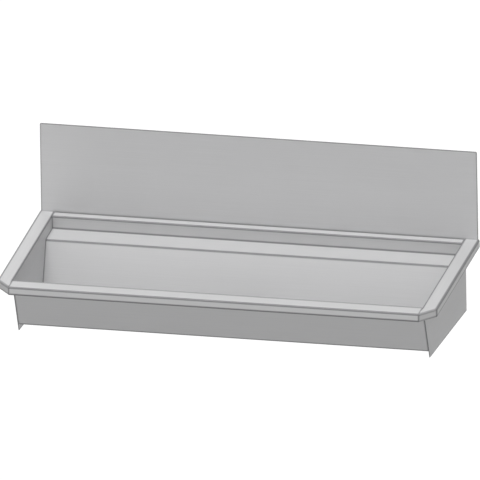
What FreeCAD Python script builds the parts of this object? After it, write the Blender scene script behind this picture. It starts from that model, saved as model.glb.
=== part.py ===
import FreeCAD, Part
import math
import os

# A wall-hung stainless steel hand wash sink: a long folded trough between two end panels, with a tall
# splashback, hook brackets and wall brackets at the back, and a waste fitting with a lift-out strainer.
# Millimetres. +X runs along the sink, +Y into the wall, +Z up. The wall is the plane Y = 0, and the
# origin is the middle of the line of wall bracket slots.

# ---- Overall sizes ----
sink_length = 1016.0
sink_depth = 482.0
rim_height = 56.0            # rim top above the wall bracket slots
sheet = 1.5
bend_inside = 1.5            # inside radius of every fold in the sheet

# ---- Trough section, from the wall to the front ----
ledge_depth = 29.5           # wall to the drop wall
rear_flange_height = 24.0
ledge_drop = 30.0
shelf_depth = 68.0
shelf_fall = 1.0
back_slope_angle = 21.0      # degrees off vertical
floor_fall_angle = 4.5       # degrees, falling to the back
front_wall_angle = 23.0      # degrees off vertical
bowl_front_depth = 125.0     # rim top to the front foot of the floor
front_rim = 44.0
lip_height = 20.0
lip_return = 9.0

# ---- End panels ----
side_rim = 34.0
corner_cut_depth = 41.0      # how far back the cut-off front corner reaches
skirt_drop = 16.5            # end panel below the underside of the floor
end_flange_width = 22.0
end_flange_top = 36.0        # below the rim
seam_round = 0.8

# ---- Splashback ----
splash_height = 212.0
splash_end_inset = 3.0
splash_corner_radius = 3.0
skirt_end_clearance = 0.5
seal_thickness = 1.0
seal_height = 20.0
stud_radius = 2.5
stud_length = 12.5
stud_depth_below_rim = 14.0
stud_hole_clearance = 0.3
stud_past_hook = 45.0        # stud beyond each end of a hook
washer_radius = 5.5
washer_thickness = 1.0
nut_across_flats = 8.0
nut_thickness = 4.0

# ---- Hooks and wall brackets ----
bracket_from_end = 258.0     # middle of each bracket
hook_length = 260.0
hook_sheet = 2.0
hook_leg_height = 17.0
hook_back_from_wall = 8.0
hook_front_leg_height = 25.0
wall_bracket_length = 240.0
wall_bracket_sheet = 2.5
hook_side_clearance = 0.5
bracket_lip_chamfer = 1.0
bracket_web_below_rim = 32.0
bracket_foot_below_slots = 24.0
slot_spacing_in_bracket = 180.0
slot_width = 8.0
slot_length = 20.0

# ---- Lower wall rail ----
rail_sheet = 2.0
rail_leg = 30.0
rail_height = 36.0
rail_above_panel_foot = 4.0
rail_slot_from_end = 178.0
rail_slot_below_top = 16.0

# ---- Damping pads ----
pad_length = 300.0
pad_width = 150.0
pad_thickness = 2.5
pad_from_end = 238.0         # middle of each pad
pad_corner_radius = 10.0

# ---- Pressed recess and waste fitting ----
drain_from_wall = 195.0
recess_depth = 8.0
recess_radius = 42.0
recess_wall_angle = 45.0     # degrees
drain_hole_radius = 24.6
flange_radius = 38.0
gasket_thickness = 1.5
flange_gasket_inner = 26.0
flange_gasket_outer = 36.0
flange_edge = 1.0
seat_height = 1.5            # strainer seat above the underside of the flange
seat_radius = 28.4
flange_crown = 3.2           # highest point above the underside of the flange
flange_land_width = 3.0      # flat ring round the strainer's seat
seat_chamfer = 0.6
barrel_radius = 23.9         # over the thread
spigot_radius = 23.6         # plain end that the trap slides over
throat_radius = 21.5
outlet_radius = 19.5
shoulder_depth = 26.0        # below the recess
spigot_depth = 16.0          # below the recess, where the plain end starts
barrel_depth = 38.0          # below the recess
barrel_chamfer = 0.8
crossbar_width = 3.0
crossbar_height = 3.0
washer_bore_clearance = 0.3
rubber_washer_radius = 34.0
rubber_washer_thickness = 3.0
fibre_washer_radius = 33.0
fibre_washer_thickness = 1.2
locknut_radius = 30.0
locknut_height = 9.0
locknut_lug_count = 6
locknut_lug_width = 9.0
locknut_lug_reach = 5.0
locknut_chamfer = 1.0

# ---- Lift-out strainer ----
basket_sheet = 0.8
basket_rim_gap = 0.3
basket_side_gap = 0.9
basket_edge_gap = 0.8
basket_depth = 17.0          # below the top of its rim
basket_corner = 1.5
basket_slot_count = 12
basket_slot_width = 3.2
basket_slot_height = 7.0
basket_hole_radius = 1.8
basket_inner_ring = 8.5
basket_inner_count = 8
basket_outer_ring = 14.5
basket_outer_count = 14
post_radius = 3.0
knob_radius = 8.0
knob_height = 7.0
knob_grip = (1.5, 3.0)       # heights of the knob's widest band above its underside
knob_neck = 2.0
knob_shoulder = (1.0, 5.0)   # inward from the widest band, and above the underside
knob_crown = (3.5, 0.6)      # inward from the widest band, and below the top
knob_above_rim = 3.0
knob_stud_radius = 2.0
knob_stud_end = 1.5          # stud past its nut
knob_stud_clearance = 0.3
strainer_nut_flats = 7.0
strainer_nut_height = 3.0

# ---- Worked-out places ----
tolerance = 1e-6
overrun = 1.0                # how far a cutter reaches past what it cuts
half_length = sink_length / 2
bowl_half = half_length - side_rim
bracket_centre = half_length - bracket_from_end
pad_centre = half_length - pad_from_end
rail_slot_place = half_length - rail_slot_from_end
stud_reach = hook_length / 2 + stud_past_hook
stud_places = [side * (bracket_centre + end * stud_reach) for side in (-1, 1) for end in (-1, 1)]
rear_flange_y = -(sheet + seal_thickness)
drop_wall_y = -ledge_depth
shelf_front_y = drop_wall_y - shelf_depth
shelf_back_z = rim_height - ledge_drop
shelf_front_z = shelf_back_z - shelf_fall
rim_inner_y = -(sink_depth - front_rim)
front_foot_z = rim_height - bowl_front_depth
front_foot_y = rim_inner_y + bowl_front_depth * math.tan(math.radians(front_wall_angle))
floor_slope = math.tan(math.radians(floor_fall_angle))
back_slope = math.tan(math.radians(back_slope_angle))
slope_drop = (shelf_front_z - front_foot_z + (shelf_front_y - front_foot_y) * floor_slope) / (
    1 + back_slope * floor_slope)
slope_foot_y = shelf_front_y - slope_drop * back_slope
slope_foot_z = shelf_front_z - slope_drop
bend_outside = bend_inside + sheet
drain_y = -drain_from_wall
recess_z = front_foot_z - (drain_y - front_foot_y) * floor_slope - recess_depth


def vector(x, y, z=0.0):
    return FreeCAD.Vector(x, y, z)


def offset_path(points, distance):
    """An open path moved to its left by a distance, with mitred corners."""
    normals = []
    for start, end in zip(points, points[1:]):
        run = (end - start).normalize()
        normals.append(vector(-run.y, run.x))
    moved = [points[0] + normals[0] * distance]
    for corner, before, after in zip(points[1:-1], normals, normals[1:]):
        moved.append(corner + (before + after) * (distance / (1 + before.dot(after))))
    moved.append(points[-1] + normals[-1] * distance)
    return moved


def rounded_path(points, radii):
    """Edges of an open path whose corners are tangent arcs of the given radii."""
    edges = []
    start = points[0]
    for before, corner, after, radius in zip(points, points[1:], points[2:], radii):
        back = (before - corner).normalize()
        ahead = (after - corner).normalize()
        half_angle = back.getAngle(ahead) / 2
        reach = radius / math.tan(half_angle)
        inward = (back + ahead).normalize()
        arc_start = corner + back * reach
        arc_end = corner + ahead * reach
        arc_middle = corner + inward * (radius / math.sin(half_angle) - radius)
        edges.append(Part.LineSegment(start, arc_start).toShape())
        edges.append(Part.Arc(arc_start, arc_middle, arc_end).toShape())
        start = arc_end
    edges.append(Part.LineSegment(start, points[-1]).toShape())
    return edges


def folded_sheet(outline, thickness, length):
    """A folded sheet, centred on X = 0. The outline is one skin as (Y, Z), with the sheet to its left."""
    skin = [vector(y, z) for y, z in outline]
    far_skin = offset_path(skin, thickness)
    skin_radii = []
    far_radii = []
    for before, corner, after in zip(skin, skin[1:], skin[2:]):
        towards_sheet = (corner - before).cross(after - corner).z > 0
        skin_radii.append(bend_inside + (thickness if towards_sheet else 0))
        far_radii.append(bend_inside + (0 if towards_sheet else thickness))
    edges = rounded_path(skin, skin_radii) + rounded_path(far_skin, far_radii)
    edges.append(Part.LineSegment(skin[0], far_skin[0]).toShape())
    edges.append(Part.LineSegment(skin[-1], far_skin[-1]).toShape())
    section = Part.Face(Part.Wire(Part.__sortEdges__(edges)))
    section.Placement = FreeCAD.Placement(
        vector(-length / 2, 0), FreeCAD.Rotation(vector(0, 1), vector(0, 0, 1), vector(1, 0)))
    return section.extrude(vector(length, 0))


def plate_yz(corners, x_low, x_high):
    """A flat plate with the given (Y, Z) corners between two X values."""
    wire = Part.makePolygon([vector(x_low, y, z) for y, z in corners + corners[:1]])
    return Part.Face(wire).extrude(vector(x_high - x_low, 0))


def plate_xy(corners, z_low, z_high):
    """An upright prism with the given corners, as vectors, between two heights."""
    wire = Part.makePolygon([vector(p.x, p.y, z_low) for p in corners + corners[:1]])
    return Part.Face(wire).extrude(vector(0, 0, z_high - z_low))


def box(x_low, x_high, y_low, y_high, z_low, z_high):
    return Part.makeBox(x_high - x_low, y_high - y_low, z_high - z_low, vector(x_low, y_low, z_low))


def cylinder_y(x, z, radius, y_start, y_end):
    """A round bar along Y."""
    return Part.makeCylinder(radius, y_end - y_start, vector(x, y_start, z), vector(0, 1))


def slot_y(x, z, depth):
    """A cutter for a wall slot along X, reaching a depth forward of the wall."""
    straight = (slot_length - slot_width) / 2
    radius = slot_width / 2
    cutter = box(x - straight, x + straight, -depth, overrun, z - radius, z + radius)
    for side in (-1, 1):
        cutter = cutter.fuse(cylinder_y(x + side * straight, z, radius, -depth, overrun))
    return cutter


def hexagon(across_flats, height, base, axis):
    """A hexagonal prism on a base point along an axis."""
    reach = across_flats / 2 / math.cos(math.radians(30))
    corners = []
    for step in range(7):
        angle = math.radians(60 * step)
        corners.append(vector(reach * math.cos(angle), reach * math.sin(angle)))
    prism = Part.Face(Part.makePolygon(corners)).extrude(vector(0, 0, height))
    prism.Placement = FreeCAD.Placement(base, FreeCAD.Rotation(vector(0, 0, 1), axis))
    return prism


def turned(profile, x=0.0, y=drain_y, z=recess_z):
    """A part turned round an upright axis, from its (radius, height) corners."""
    wire = Part.makePolygon([vector(radius, 0, height) for radius, height in profile + profile[:1]])
    solid = Part.Face(wire).revolve(vector(0, 0), vector(0, 0, 1), 360)
    solid.translate(vector(x, y, z))
    return solid


def ring(inner, outer, low, high):
    return turned([(inner, low), (outer, low), (outer, high), (inner, high)])


def is_upright(edge):
    return abs(edge.Vertexes[0].Z - edge.Vertexes[1].Z) > tolerance


def mirrored(shape):
    """The same piece for the other end of the sink."""
    return shape.mirror(vector(0, 0), vector(1, 0))


# ---- Trough ----

def bowl_outline():
    """Upper skin of the trough as (Y, Z), from the rear flange to the return of the front lip."""
    return [
        (rear_flange_y, rim_height - rear_flange_height),
        (rear_flange_y, rim_height),
        (drop_wall_y, rim_height),
        (drop_wall_y, shelf_back_z),
        (shelf_front_y, shelf_front_z),
        (slope_foot_y, slope_foot_z),
        (front_foot_y, front_foot_z),
        (rim_inner_y, rim_height),
        (-sink_depth, rim_height),
        (-sink_depth, rim_height - lip_height),
        (-sink_depth + lip_return, rim_height - lip_height),
    ]


def recess_cone(radius, low):
    """A cone that opens upwards from a radius at a height, to well above the floor."""
    rise = 2 * recess_depth + sheet
    top_radius = radius + rise / math.tan(math.radians(recess_wall_angle))
    return Part.makeCone(radius, top_radius, rise, vector(0, drain_y, low))


def make_trough_shell():
    """The folded sheet, with the round recess pressed into its floor and the holes for the studs."""
    shell = folded_sheet(bowl_outline(), sheet, 2 * bowl_half)
    skin_shift = sheet * math.tan(math.radians(recess_wall_angle / 2))
    pressing = recess_cone(recess_radius + skin_shift, recess_z - sheet)
    room = 2 * recess_radius
    below_floor = plate_yz([
        (front_foot_y, front_foot_z),
        (slope_foot_y, slope_foot_z),
        (slope_foot_y, slope_foot_z - room),
        (front_foot_y, front_foot_z - room)], -room, room)
    shell = shell.fuse(pressing.common(below_floor))
    shell = shell.cut(recess_cone(recess_radius, recess_z))
    hole = Part.makeCylinder(drain_hole_radius, 4 * sheet, vector(0, drain_y, recess_z - 2 * sheet))
    shell = shell.cut(hole)
    return shell.cut(stud_holes()).removeSplitter()


def stud_holes():
    radius = stud_radius + stud_hole_clearance
    height = rim_height - stud_depth_below_rim
    depth = rear_flange_y - 2 * sheet
    return Part.makeCompound([cylinder_y(x, height, radius, depth, 0) for x in stud_places])


# ---- End panels ----

def rim_prism(inset, x_inner, z_low, z_high, radius):
    """Side rim with its cut-off front corner, set in from its outer edges, with those edges rounded."""
    run_on = 3 * side_rim
    cut_run = vector(-side_rim, -corner_cut_depth).normalize()
    corner = vector(half_length, corner_cut_depth - sink_depth)
    outer = offset_path([vector(half_length, run_on), corner, corner + cut_run * run_on], -inset)
    inner_x = outer[2].x
    prism = plate_xy(outer + [vector(inner_x, run_on)], z_low, z_high)

    def is_outer(edge):
        middle = edge.CenterOfMass
        if is_upright(edge):
            return (middle - vector(outer[1].x, outer[1].y, middle.z)).Length < tolerance
        return middle.x > inner_x + tolerance and middle.y < run_on - tolerance

    prism = prism.makeFillet(radius, [edge for edge in prism.Edges if is_outer(edge)])
    return prism.common(box(x_inner, half_length, -sink_depth, inset, z_low, z_high))


def make_side_rim():
    """Flat side rim with its lip and the lip's return, open underneath and at the wall."""
    bottom = rim_height - lip_height
    inside = bowl_half + sheet
    rim = rim_prism(0, bowl_half, bottom, rim_height, bend_outside)
    hollow = rim_prism(sheet, inside, bottom + sheet, rim_height - sheet, bend_inside)
    mouth = rim_prism(lip_return, inside, bottom - 2 * sheet, bottom + 2 * sheet, bend_inside)
    return rim.cut(hollow).cut(mouth)


def end_plate_corners():
    """Corners of the flat end panel as (Y, Z): its front edge lies on the front wall's outer skin."""
    front_edge = offset_path([vector(rim_inner_y, rim_height), vector(front_foot_y, front_foot_z)], -sheet)
    start, end = front_edge
    steepness = (end.y - start.y) / (end.x - start.x)
    top_y = start.x + (rim_height - start.y) / steepness
    floor_underside = front_foot_z - sheet / math.cos(math.radians(floor_fall_angle))
    foot_at_wall = floor_underside + front_foot_y * floor_slope - skirt_drop
    # The front edge is Z = rim_height + steepness * (Y - top_y), the foot Z = foot_at_wall - floor_slope * Y.
    tip_y = (foot_at_wall - rim_height + steepness * top_y) / (steepness + floor_slope)
    tip_z = foot_at_wall - floor_slope * tip_y
    return [(0.0, rim_height), (top_y, rim_height), (tip_y, tip_z), (0.0, foot_at_wall)]


def seam_cutter():
    """Rounds the edge where the end panel turns into the side rim, beside the bowl and the front rim."""
    x_high = bowl_half + seam_round
    z_low = rim_height - seam_round
    y_low = -sink_depth - overrun
    corner = box(bowl_half - overrun, x_high, y_low, overrun, z_low, rim_height + overrun)
    return corner.cut(cylinder_y(x_high, z_low, seam_round, y_low, overrun))


def make_end_panel():
    """Right-hand end: flat panel, side rim with lip, and the flange turned inward against the wall."""
    plate = plate_yz(end_plate_corners(), bowl_half, bowl_half + sheet)
    flange = box(bowl_half - end_flange_width, bowl_half + sheet, -sheet, 0,
                 rail_top_z() + sheet, rim_height - end_flange_top)
    panel = plate.fuse([make_side_rim(), flange]).removeSplitter()
    return panel.cut(seam_cutter())


# ---- Splashback and its fixings ----

def make_splashback():
    """Flat panel with a narrower skirt that goes down behind the ledge."""
    half = half_length - splash_end_inset
    skirt_half = bowl_half - skirt_end_clearance
    top = rim_height + splash_height
    panel = box(-half, half, -sheet, 0, rim_height, top)
    top_corners = [edge for edge in panel.Edges
                   if edge.BoundBox.ZMin > top - tolerance and edge.BoundBox.XLength < tolerance]
    panel = panel.makeFillet(splash_corner_radius, top_corners)
    skirt = box(-skirt_half, skirt_half, -sheet, 0, rim_height - rear_flange_height, rim_height)
    return panel.fuse(skirt).removeSplitter()


def make_seal_strip():
    half = bowl_half - skirt_end_clearance
    top = rim_height - bend_outside
    strip = box(-half, half, rear_flange_y, -sheet, top - seal_height, top)
    return strip.cut(stud_holes())


def at_each_stud(make):
    return Part.makeCompound([make(x, rim_height - stud_depth_below_rim) for x in stud_places])


def make_studs():
    return at_each_stud(lambda x, z: cylinder_y(x, z, stud_radius, -sheet - stud_length, -sheet))


def make_splash_washers():
    back = rear_flange_y - sheet

    def washer(x, z):
        disc = cylinder_y(x, z, washer_radius, back - washer_thickness, back)
        return disc.cut(cylinder_y(x, z, stud_radius + stud_hole_clearance, back - washer_thickness, back))

    return at_each_stud(washer)


def make_splash_nuts():
    back = rear_flange_y - sheet - washer_thickness

    def nut(x, z):
        body = hexagon(nut_across_flats, nut_thickness, vector(x, back, z), vector(0, -1))
        return body.cut(cylinder_y(x, z, stud_radius + stud_hole_clearance, back - nut_thickness, back))

    return at_each_stud(nut)


# ---- Hooks, wall brackets and lower rail ----

def make_hook_bracket():
    """Inverted hook under the ledge, welded to the back of the drop wall. The right-hand one."""
    top = rim_height - sheet
    front = drop_wall_y + sheet
    hook = folded_sheet([
        (-hook_back_from_wall, top - hook_leg_height),
        (-hook_back_from_wall, top),
        (front, top),
        (front, top - hook_front_leg_height)], hook_sheet, hook_length)
    hook.translate(vector(bracket_centre, 0))
    return hook


def make_wall_bracket():
    """Z bracket on the wall: its lip stands up inside the hook. The right-hand one."""
    lip_y = -(hook_back_from_wall + hook_sheet + hook_side_clearance)
    web_z = rim_height - bracket_web_below_rim
    bracket = folded_sheet([
        (0.0, -bracket_foot_below_slots),
        (0.0, web_z),
        (lip_y, web_z),
        (lip_y, rim_height - sheet - hook_sheet)], wall_bracket_sheet, wall_bracket_length)
    bracket.translate(vector(bracket_centre, 0))
    lip_top = bracket.BoundBox.ZMax
    lip_edges = [edge for edge in bracket.Edges if edge.BoundBox.ZMin > lip_top - tolerance
                 and edge.BoundBox.XLength > wall_bracket_length - tolerance]
    bracket = bracket.makeChamfer(bracket_lip_chamfer, lip_edges)
    for side in (-1, 1):
        place = bracket_centre + side * slot_spacing_in_bracket / 2
        bracket = bracket.cut(slot_y(place, 0, 2 * wall_bracket_sheet))
    return bracket


def rail_foot_z():
    return end_plate_corners()[-1][1] + rail_above_panel_foot


def rail_top_z():
    return rail_foot_z() + rail_height


def make_lower_wall_rail():
    """Angle between the end panels, with the slots for the lower wall screws."""
    foot = rail_foot_z()
    rail = folded_sheet([
        (-rail_leg, foot),
        (0.0, foot),
        (0.0, rail_top_z())], rail_sheet, 2 * bowl_half)
    for side in (-1, 1):
        height = rail_top_z() - rail_slot_below_top
        rail = rail.cut(slot_y(side * rail_slot_place, height, 2 * rail_sheet))
    return rail


# ---- Damping pads ----

def make_sound_pad():
    """Damping pad on the underside of the floor, square to its fall. The right-hand one."""
    middle_y = (front_foot_y + slope_foot_y) / 2
    middle_z = (front_foot_z + slope_foot_z) / 2
    pad = box(-pad_length / 2, pad_length / 2, -pad_width / 2, pad_width / 2, -sheet - pad_thickness, -sheet)
    pad = pad.makeFillet(pad_corner_radius, [edge for edge in pad.Edges if is_upright(edge)])
    pad.Placement = FreeCAD.Placement(
        vector(pad_centre, middle_y, middle_z), FreeCAD.Rotation(vector(1, 0), -floor_fall_angle))
    return pad


# ---- Waste fitting: heights are above the recess ----

def make_drain_body():
    """Crowned flange with the strainer's seat, threaded barrel and the cross bars of its outlet."""
    under = gasket_thickness
    seat = under + seat_height
    crown = under + flange_crown
    body = turned([
        (barrel_radius, under),
        (flange_radius, under),
        (flange_radius, under + flange_edge),
        (seat_radius + flange_land_width, crown),
        (seat_radius + seat_chamfer, crown),
        (seat_radius, crown - seat_chamfer),
        (seat_radius, seat),
        (throat_radius + seat_chamfer, seat),
        (throat_radius, seat - seat_chamfer),
        (throat_radius, -shoulder_depth),
        (outlet_radius, -shoulder_depth),
        (outlet_radius, -barrel_depth),
        (spigot_radius - barrel_chamfer, -barrel_depth),
        (spigot_radius, -barrel_depth + barrel_chamfer),
        (spigot_radius, -spigot_depth),
        (barrel_radius, -spigot_depth)])
    reach = (outlet_radius + spigot_radius) / 2
    bar = box(-reach, reach, -crossbar_width / 2, crossbar_width / 2,
              -shoulder_depth - crossbar_height, -shoulder_depth)
    bar.translate(vector(0, drain_y, recess_z))
    for angle in (0, 90):
        turned_bar = bar.copy()
        turned_bar.rotate(vector(0, drain_y), vector(0, 0, 1), angle)
        body = body.fuse(turned_bar)
    return body.removeSplitter()


def make_flange_gasket():
    return ring(flange_gasket_inner, flange_gasket_outer, 0, gasket_thickness)


def make_rubber_washer():
    return ring(barrel_radius + washer_bore_clearance, rubber_washer_radius,
                -sheet - rubber_washer_thickness, -sheet)


def make_fibre_washer():
    top = -sheet - rubber_washer_thickness
    return ring(barrel_radius + washer_bore_clearance, fibre_washer_radius, top - fibre_washer_thickness, top)


def locknut_top():
    return -sheet - rubber_washer_thickness - fibre_washer_thickness


def make_locknut():
    """Round backnut with lugs for a wrench."""
    top = locknut_top()
    low = top - locknut_height
    nut = turned([
        (barrel_radius + washer_bore_clearance, low),
        (locknut_radius - locknut_chamfer, low),
        (locknut_radius, low + locknut_chamfer),
        (locknut_radius, top),
        (barrel_radius + washer_bore_clearance, top)])
    root = (barrel_radius + locknut_radius) / 2
    for step in range(locknut_lug_count):
        lug = box(root, locknut_radius + locknut_lug_reach, -locknut_lug_width / 2,
                  locknut_lug_width / 2, low + locknut_chamfer, top - locknut_chamfer)
        lug.rotate(vector(0, 0), vector(0, 0, 1), 360 * step / locknut_lug_count)
        lug.translate(vector(0, drain_y, recess_z))
        nut = nut.fuse(lug)
    return nut.removeSplitter()


# ---- Strainer ----

def basket_levels():
    """Underside of the rim, top of the rim and underside of the cup, above the recess."""
    under = gasket_thickness + seat_height + basket_rim_gap
    top = under + basket_sheet
    return under, top, top - basket_depth


def make_strainer_basket():
    """Thin turned cup with a flat rim, slots round its wall and two rings of holes in its bottom."""
    under, top, low = basket_levels()
    wall = throat_radius - basket_side_gap
    bore = knob_stud_radius + knob_stud_clearance
    corner_shift = basket_sheet * math.tan(math.radians(22.5))
    cup = turned([
        (wall - basket_sheet, top),
        (seat_radius - basket_edge_gap, top),
        (seat_radius - basket_edge_gap, under),
        (wall, under),
        (wall, low + basket_corner),
        (wall - basket_corner, low),
        (bore, low),
        (bore, low + basket_sheet),
        (wall - basket_corner - corner_shift, low + basket_sheet),
        (wall - basket_sheet, low + basket_corner + corner_shift)])
    cutters = []
    middle = (under + low) / 2
    for step in range(basket_slot_count):
        slot = box(wall - 2 * basket_sheet, wall + basket_sheet,
                   -basket_slot_width / 2, basket_slot_width / 2,
                   middle - basket_slot_height / 2, middle + basket_slot_height / 2)
        slot.rotate(vector(0, 0), vector(0, 0, 1), 360 * step / basket_slot_count)
        cutters.append(slot)
    rings = ((basket_inner_ring, basket_inner_count), (basket_outer_ring, basket_outer_count))
    for radius, count in rings:
        for step in range(count):
            angle = math.radians(360 * step / count)
            place = vector(radius * math.cos(angle), radius * math.sin(angle), low - basket_sheet)
            cutters.append(Part.makeCylinder(basket_hole_radius, 3 * basket_sheet, place))
    holes = Part.makeCompound(cutters)
    holes.translate(vector(0, drain_y, recess_z))
    return cup.cut(holes)


def make_strainer_knob():
    """Post and pull knob on a thin stud that goes through the bottom of the cup."""
    under, top, low = basket_levels()
    floor_top = low + basket_sheet
    stud_foot = low - strainer_nut_height - knob_stud_end
    knob_low = top + knob_above_rim
    knob_top = knob_low + knob_height
    grip_low, grip_high = knob_grip
    shoulder_in, shoulder_rise = knob_shoulder
    crown_in, crown_drop = knob_crown
    return turned([
        (0, stud_foot),
        (knob_stud_radius, stud_foot),
        (knob_stud_radius, floor_top),
        (post_radius, floor_top),
        (post_radius, knob_low),
        (knob_radius - knob_neck, knob_low),
        (knob_radius, knob_low + grip_low),
        (knob_radius, knob_low + grip_high),
        (knob_radius - shoulder_in, knob_low + shoulder_rise),
        (knob_radius - crown_in, knob_top - crown_drop),
        (0, knob_top)])


def make_strainer_nut():
    under, top, low = basket_levels()
    base = vector(0, drain_y, recess_z + low - strainer_nut_height)
    nut = hexagon(strainer_nut_flats, strainer_nut_height, base, vector(0, 0, 1))
    bore = knob_stud_radius + knob_stud_clearance
    return nut.cut(Part.makeCylinder(bore, strainer_nut_height, base))


# ---- Build ----

right_end = make_end_panel()
right_hook = make_hook_bracket()
right_bracket = make_wall_bracket()
right_pad = make_sound_pad()

parts = {
    "trough_shell": make_trough_shell(),
    "right_end_panel": right_end,
    "left_end_panel": mirrored(right_end),
    "splashback": make_splashback(),
    "splash_seal_strip": make_seal_strip(),
    "splash_studs": make_studs(),
    "splash_washers": make_splash_washers(),
    "splash_nuts": make_splash_nuts(),
    "right_hook_bracket": right_hook,
    "left_hook_bracket": mirrored(right_hook),
    "right_wall_bracket": right_bracket,
    "left_wall_bracket": mirrored(right_bracket),
    "lower_wall_rail": make_lower_wall_rail(),
    "right_sound_pad": right_pad,
    "left_sound_pad": mirrored(right_pad),
    "drain_body": make_drain_body(),
    "drain_flange_gasket": make_flange_gasket(),
    "drain_rubber_washer": make_rubber_washer(),
    "drain_fibre_washer": make_fibre_washer(),
    "drain_locknut": make_locknut(),
    "strainer_basket": make_strainer_basket(),
    "strainer_knob": make_strainer_knob(),
    "strainer_nut": make_strainer_nut(),
}

os.makedirs("parts", exist_ok=True)
for name, shape in parts.items():
    size = shape.BoundBox
    print(f"{name}: {len(shape.Solids)} solids, volume {shape.Volume:.1f}, valid {shape.isValid()}, "
          f"X {size.XMin:.2f} {size.XMax:.2f} Y {size.YMin:.2f} {size.YMax:.2f} "
          f"Z {size.ZMin:.2f} {size.ZMax:.2f}")
    shape.exportStep(f"parts/{name}.step")
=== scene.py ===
"""A wall-hung steel hand wash sink: a folded trough between two end panels, with a tall splashback.

Lengths are metres in the model's own frame: X runs along the sink, Y into the wall and Z up. The wall's
face is Y = 0.
"""

import math

import bpy
import numpy as np
from mathutils import Matrix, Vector
from bpy.props import FloatProperty, FloatVectorProperty, PointerProperty
from bpy.types import Operator, Panel, PropertyGroup


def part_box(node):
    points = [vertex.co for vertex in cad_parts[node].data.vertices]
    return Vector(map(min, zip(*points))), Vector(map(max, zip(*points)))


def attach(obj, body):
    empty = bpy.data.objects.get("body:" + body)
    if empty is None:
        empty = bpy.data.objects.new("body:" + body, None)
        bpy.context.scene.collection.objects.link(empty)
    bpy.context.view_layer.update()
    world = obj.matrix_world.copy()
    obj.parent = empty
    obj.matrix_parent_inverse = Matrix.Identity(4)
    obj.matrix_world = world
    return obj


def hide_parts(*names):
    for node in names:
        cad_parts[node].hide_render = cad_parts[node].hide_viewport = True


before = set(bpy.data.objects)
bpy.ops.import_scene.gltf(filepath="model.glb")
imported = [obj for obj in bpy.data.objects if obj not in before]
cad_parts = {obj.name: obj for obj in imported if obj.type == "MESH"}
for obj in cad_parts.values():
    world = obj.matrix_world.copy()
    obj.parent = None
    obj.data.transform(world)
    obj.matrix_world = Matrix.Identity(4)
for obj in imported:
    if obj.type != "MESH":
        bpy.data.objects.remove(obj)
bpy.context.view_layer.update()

bl_info = {
    "name": "Hand wash sink",
    "version": (1, 0, 0),
    "blender": (4, 5, 0),
    "location": "View3D > Sidebar > Sink",
    "description": "Dresses a wall-hung steel hand wash sink round its packed frame",
    "category": "Add Mesh",
}

# ---- Places read from the frame ----
trough_low, trough_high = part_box("trough_shell")
panel_low, panel_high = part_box("right_end_panel")
splash_low, splash_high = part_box("splashback")
seal_low, seal_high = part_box("splash_seal_strip")
hook_low, hook_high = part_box("right_hook_bracket")
bracket_low, bracket_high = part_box("right_wall_bracket")
rail_low, rail_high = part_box("lower_wall_rail")
waste_low, waste_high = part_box("drain_body")
gasket_low, gasket_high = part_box("drain_flange_gasket")
rubber_low, rubber_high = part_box("drain_rubber_washer")
fibre_low, fibre_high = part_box("drain_fibre_washer")
locknut_low, locknut_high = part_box("drain_locknut")
basket_low, basket_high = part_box("strainer_basket")
knob_low, knob_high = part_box("strainer_knob")
pad_low, pad_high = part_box("right_sound_pad")
stud_low, stud_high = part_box("splash_studs")
washer_low, washer_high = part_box("splash_washers")
nut_low, nut_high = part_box("splash_nuts")
pull_nut_low, pull_nut_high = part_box("strainer_nut")

RIM_TOP = trough_high.z
FRONT = trough_low.y
FLANGE_BACK = trough_high.y
HALF_BOWL = trough_high.x
HALF_SINK = panel_high.x
DRAIN_Y = (waste_low.y + waste_high.y) / 2
RECESS_Z = gasket_low.z

MM = 0.001
RIGHT_ANGLE = math.pi / 2
FULL_TURN = 2 * math.pi
SIXTH = math.pi / 3
WELD_DISTANCE = 1e-6          # points closer than this are one vertex
ARC_STEPS = 6                 # steps round each fold
FOLD_MARGIN = 3.0 * MM        # flat strip that fades a fold's line out
EDGE_MARGIN = 3.2 * MM        # the same beside a free edge or a seam
RIM_EDGE = 0.8 * MM           # flat beside the round on the side rim's inner edge, which carries the full painted fold shade
SIDES = (("left", -1), ("right", 1))
STAGE_DISTANCE = 3.0          # how far off the lamps and the camera stand

# Numbers of corners and of one run in the trough's section, see trough_corners.
LEDGE_CORNER = 2
FLOOR_RUN = 5
RIM_CORNER = 7
# Fades before and after a fold, where they aren't FOLD_MARGIN.
TROUGH_MARGINS = {
    LEDGE_CORNER: (1.6 * MM, 1.6 * MM),
    FLOOR_RUN: (FOLD_MARGIN, 1.4 * MM),
    RIM_CORNER: (FOLD_MARGIN, 6.5 * MM),
    RIM_CORNER + 1: (2 * MM, 2 * MM),
}
STRAINER_MARGINS = {1: (1 * MM, 1 * MM), 2: (1 * MM, 1 * MM)}
BRACKET_MARGINS = {1: (FOLD_MARGIN, 1 * MM), 2: (1 * MM, FOLD_MARGIN)}
# Fold line's weight on an opening's rows, from its edge out.
SLOT_LINES = np.array([0.8, 0.2, 0, 0])[:, None]
HOLE_LINES = np.array([0.7, 0.1, 0, 0])[:, None]


# ---- Sizes and colours that a user would change ----

def length(name, description, default):
    """A length that the user can change."""
    return FloatProperty(
        name=name, description=description, default=default, min=0.0, precision=5, unit="LENGTH")


def angle(name, description, degrees):
    """An angle, given in degrees."""
    return FloatProperty(
        name=name, description=description, default=math.radians(degrees), unit="ROTATION")


def amount(name, description, default, high=10.0):
    """A plain number."""
    return FloatProperty(name=name, description=description, default=default, min=0.0, max=high)


def colour(name, description, default):
    """A colour."""
    return FloatVectorProperty(
        name=name, description=description, default=default, min=0.0, max=1.0, size=3, subtype="COLOR")


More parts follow.
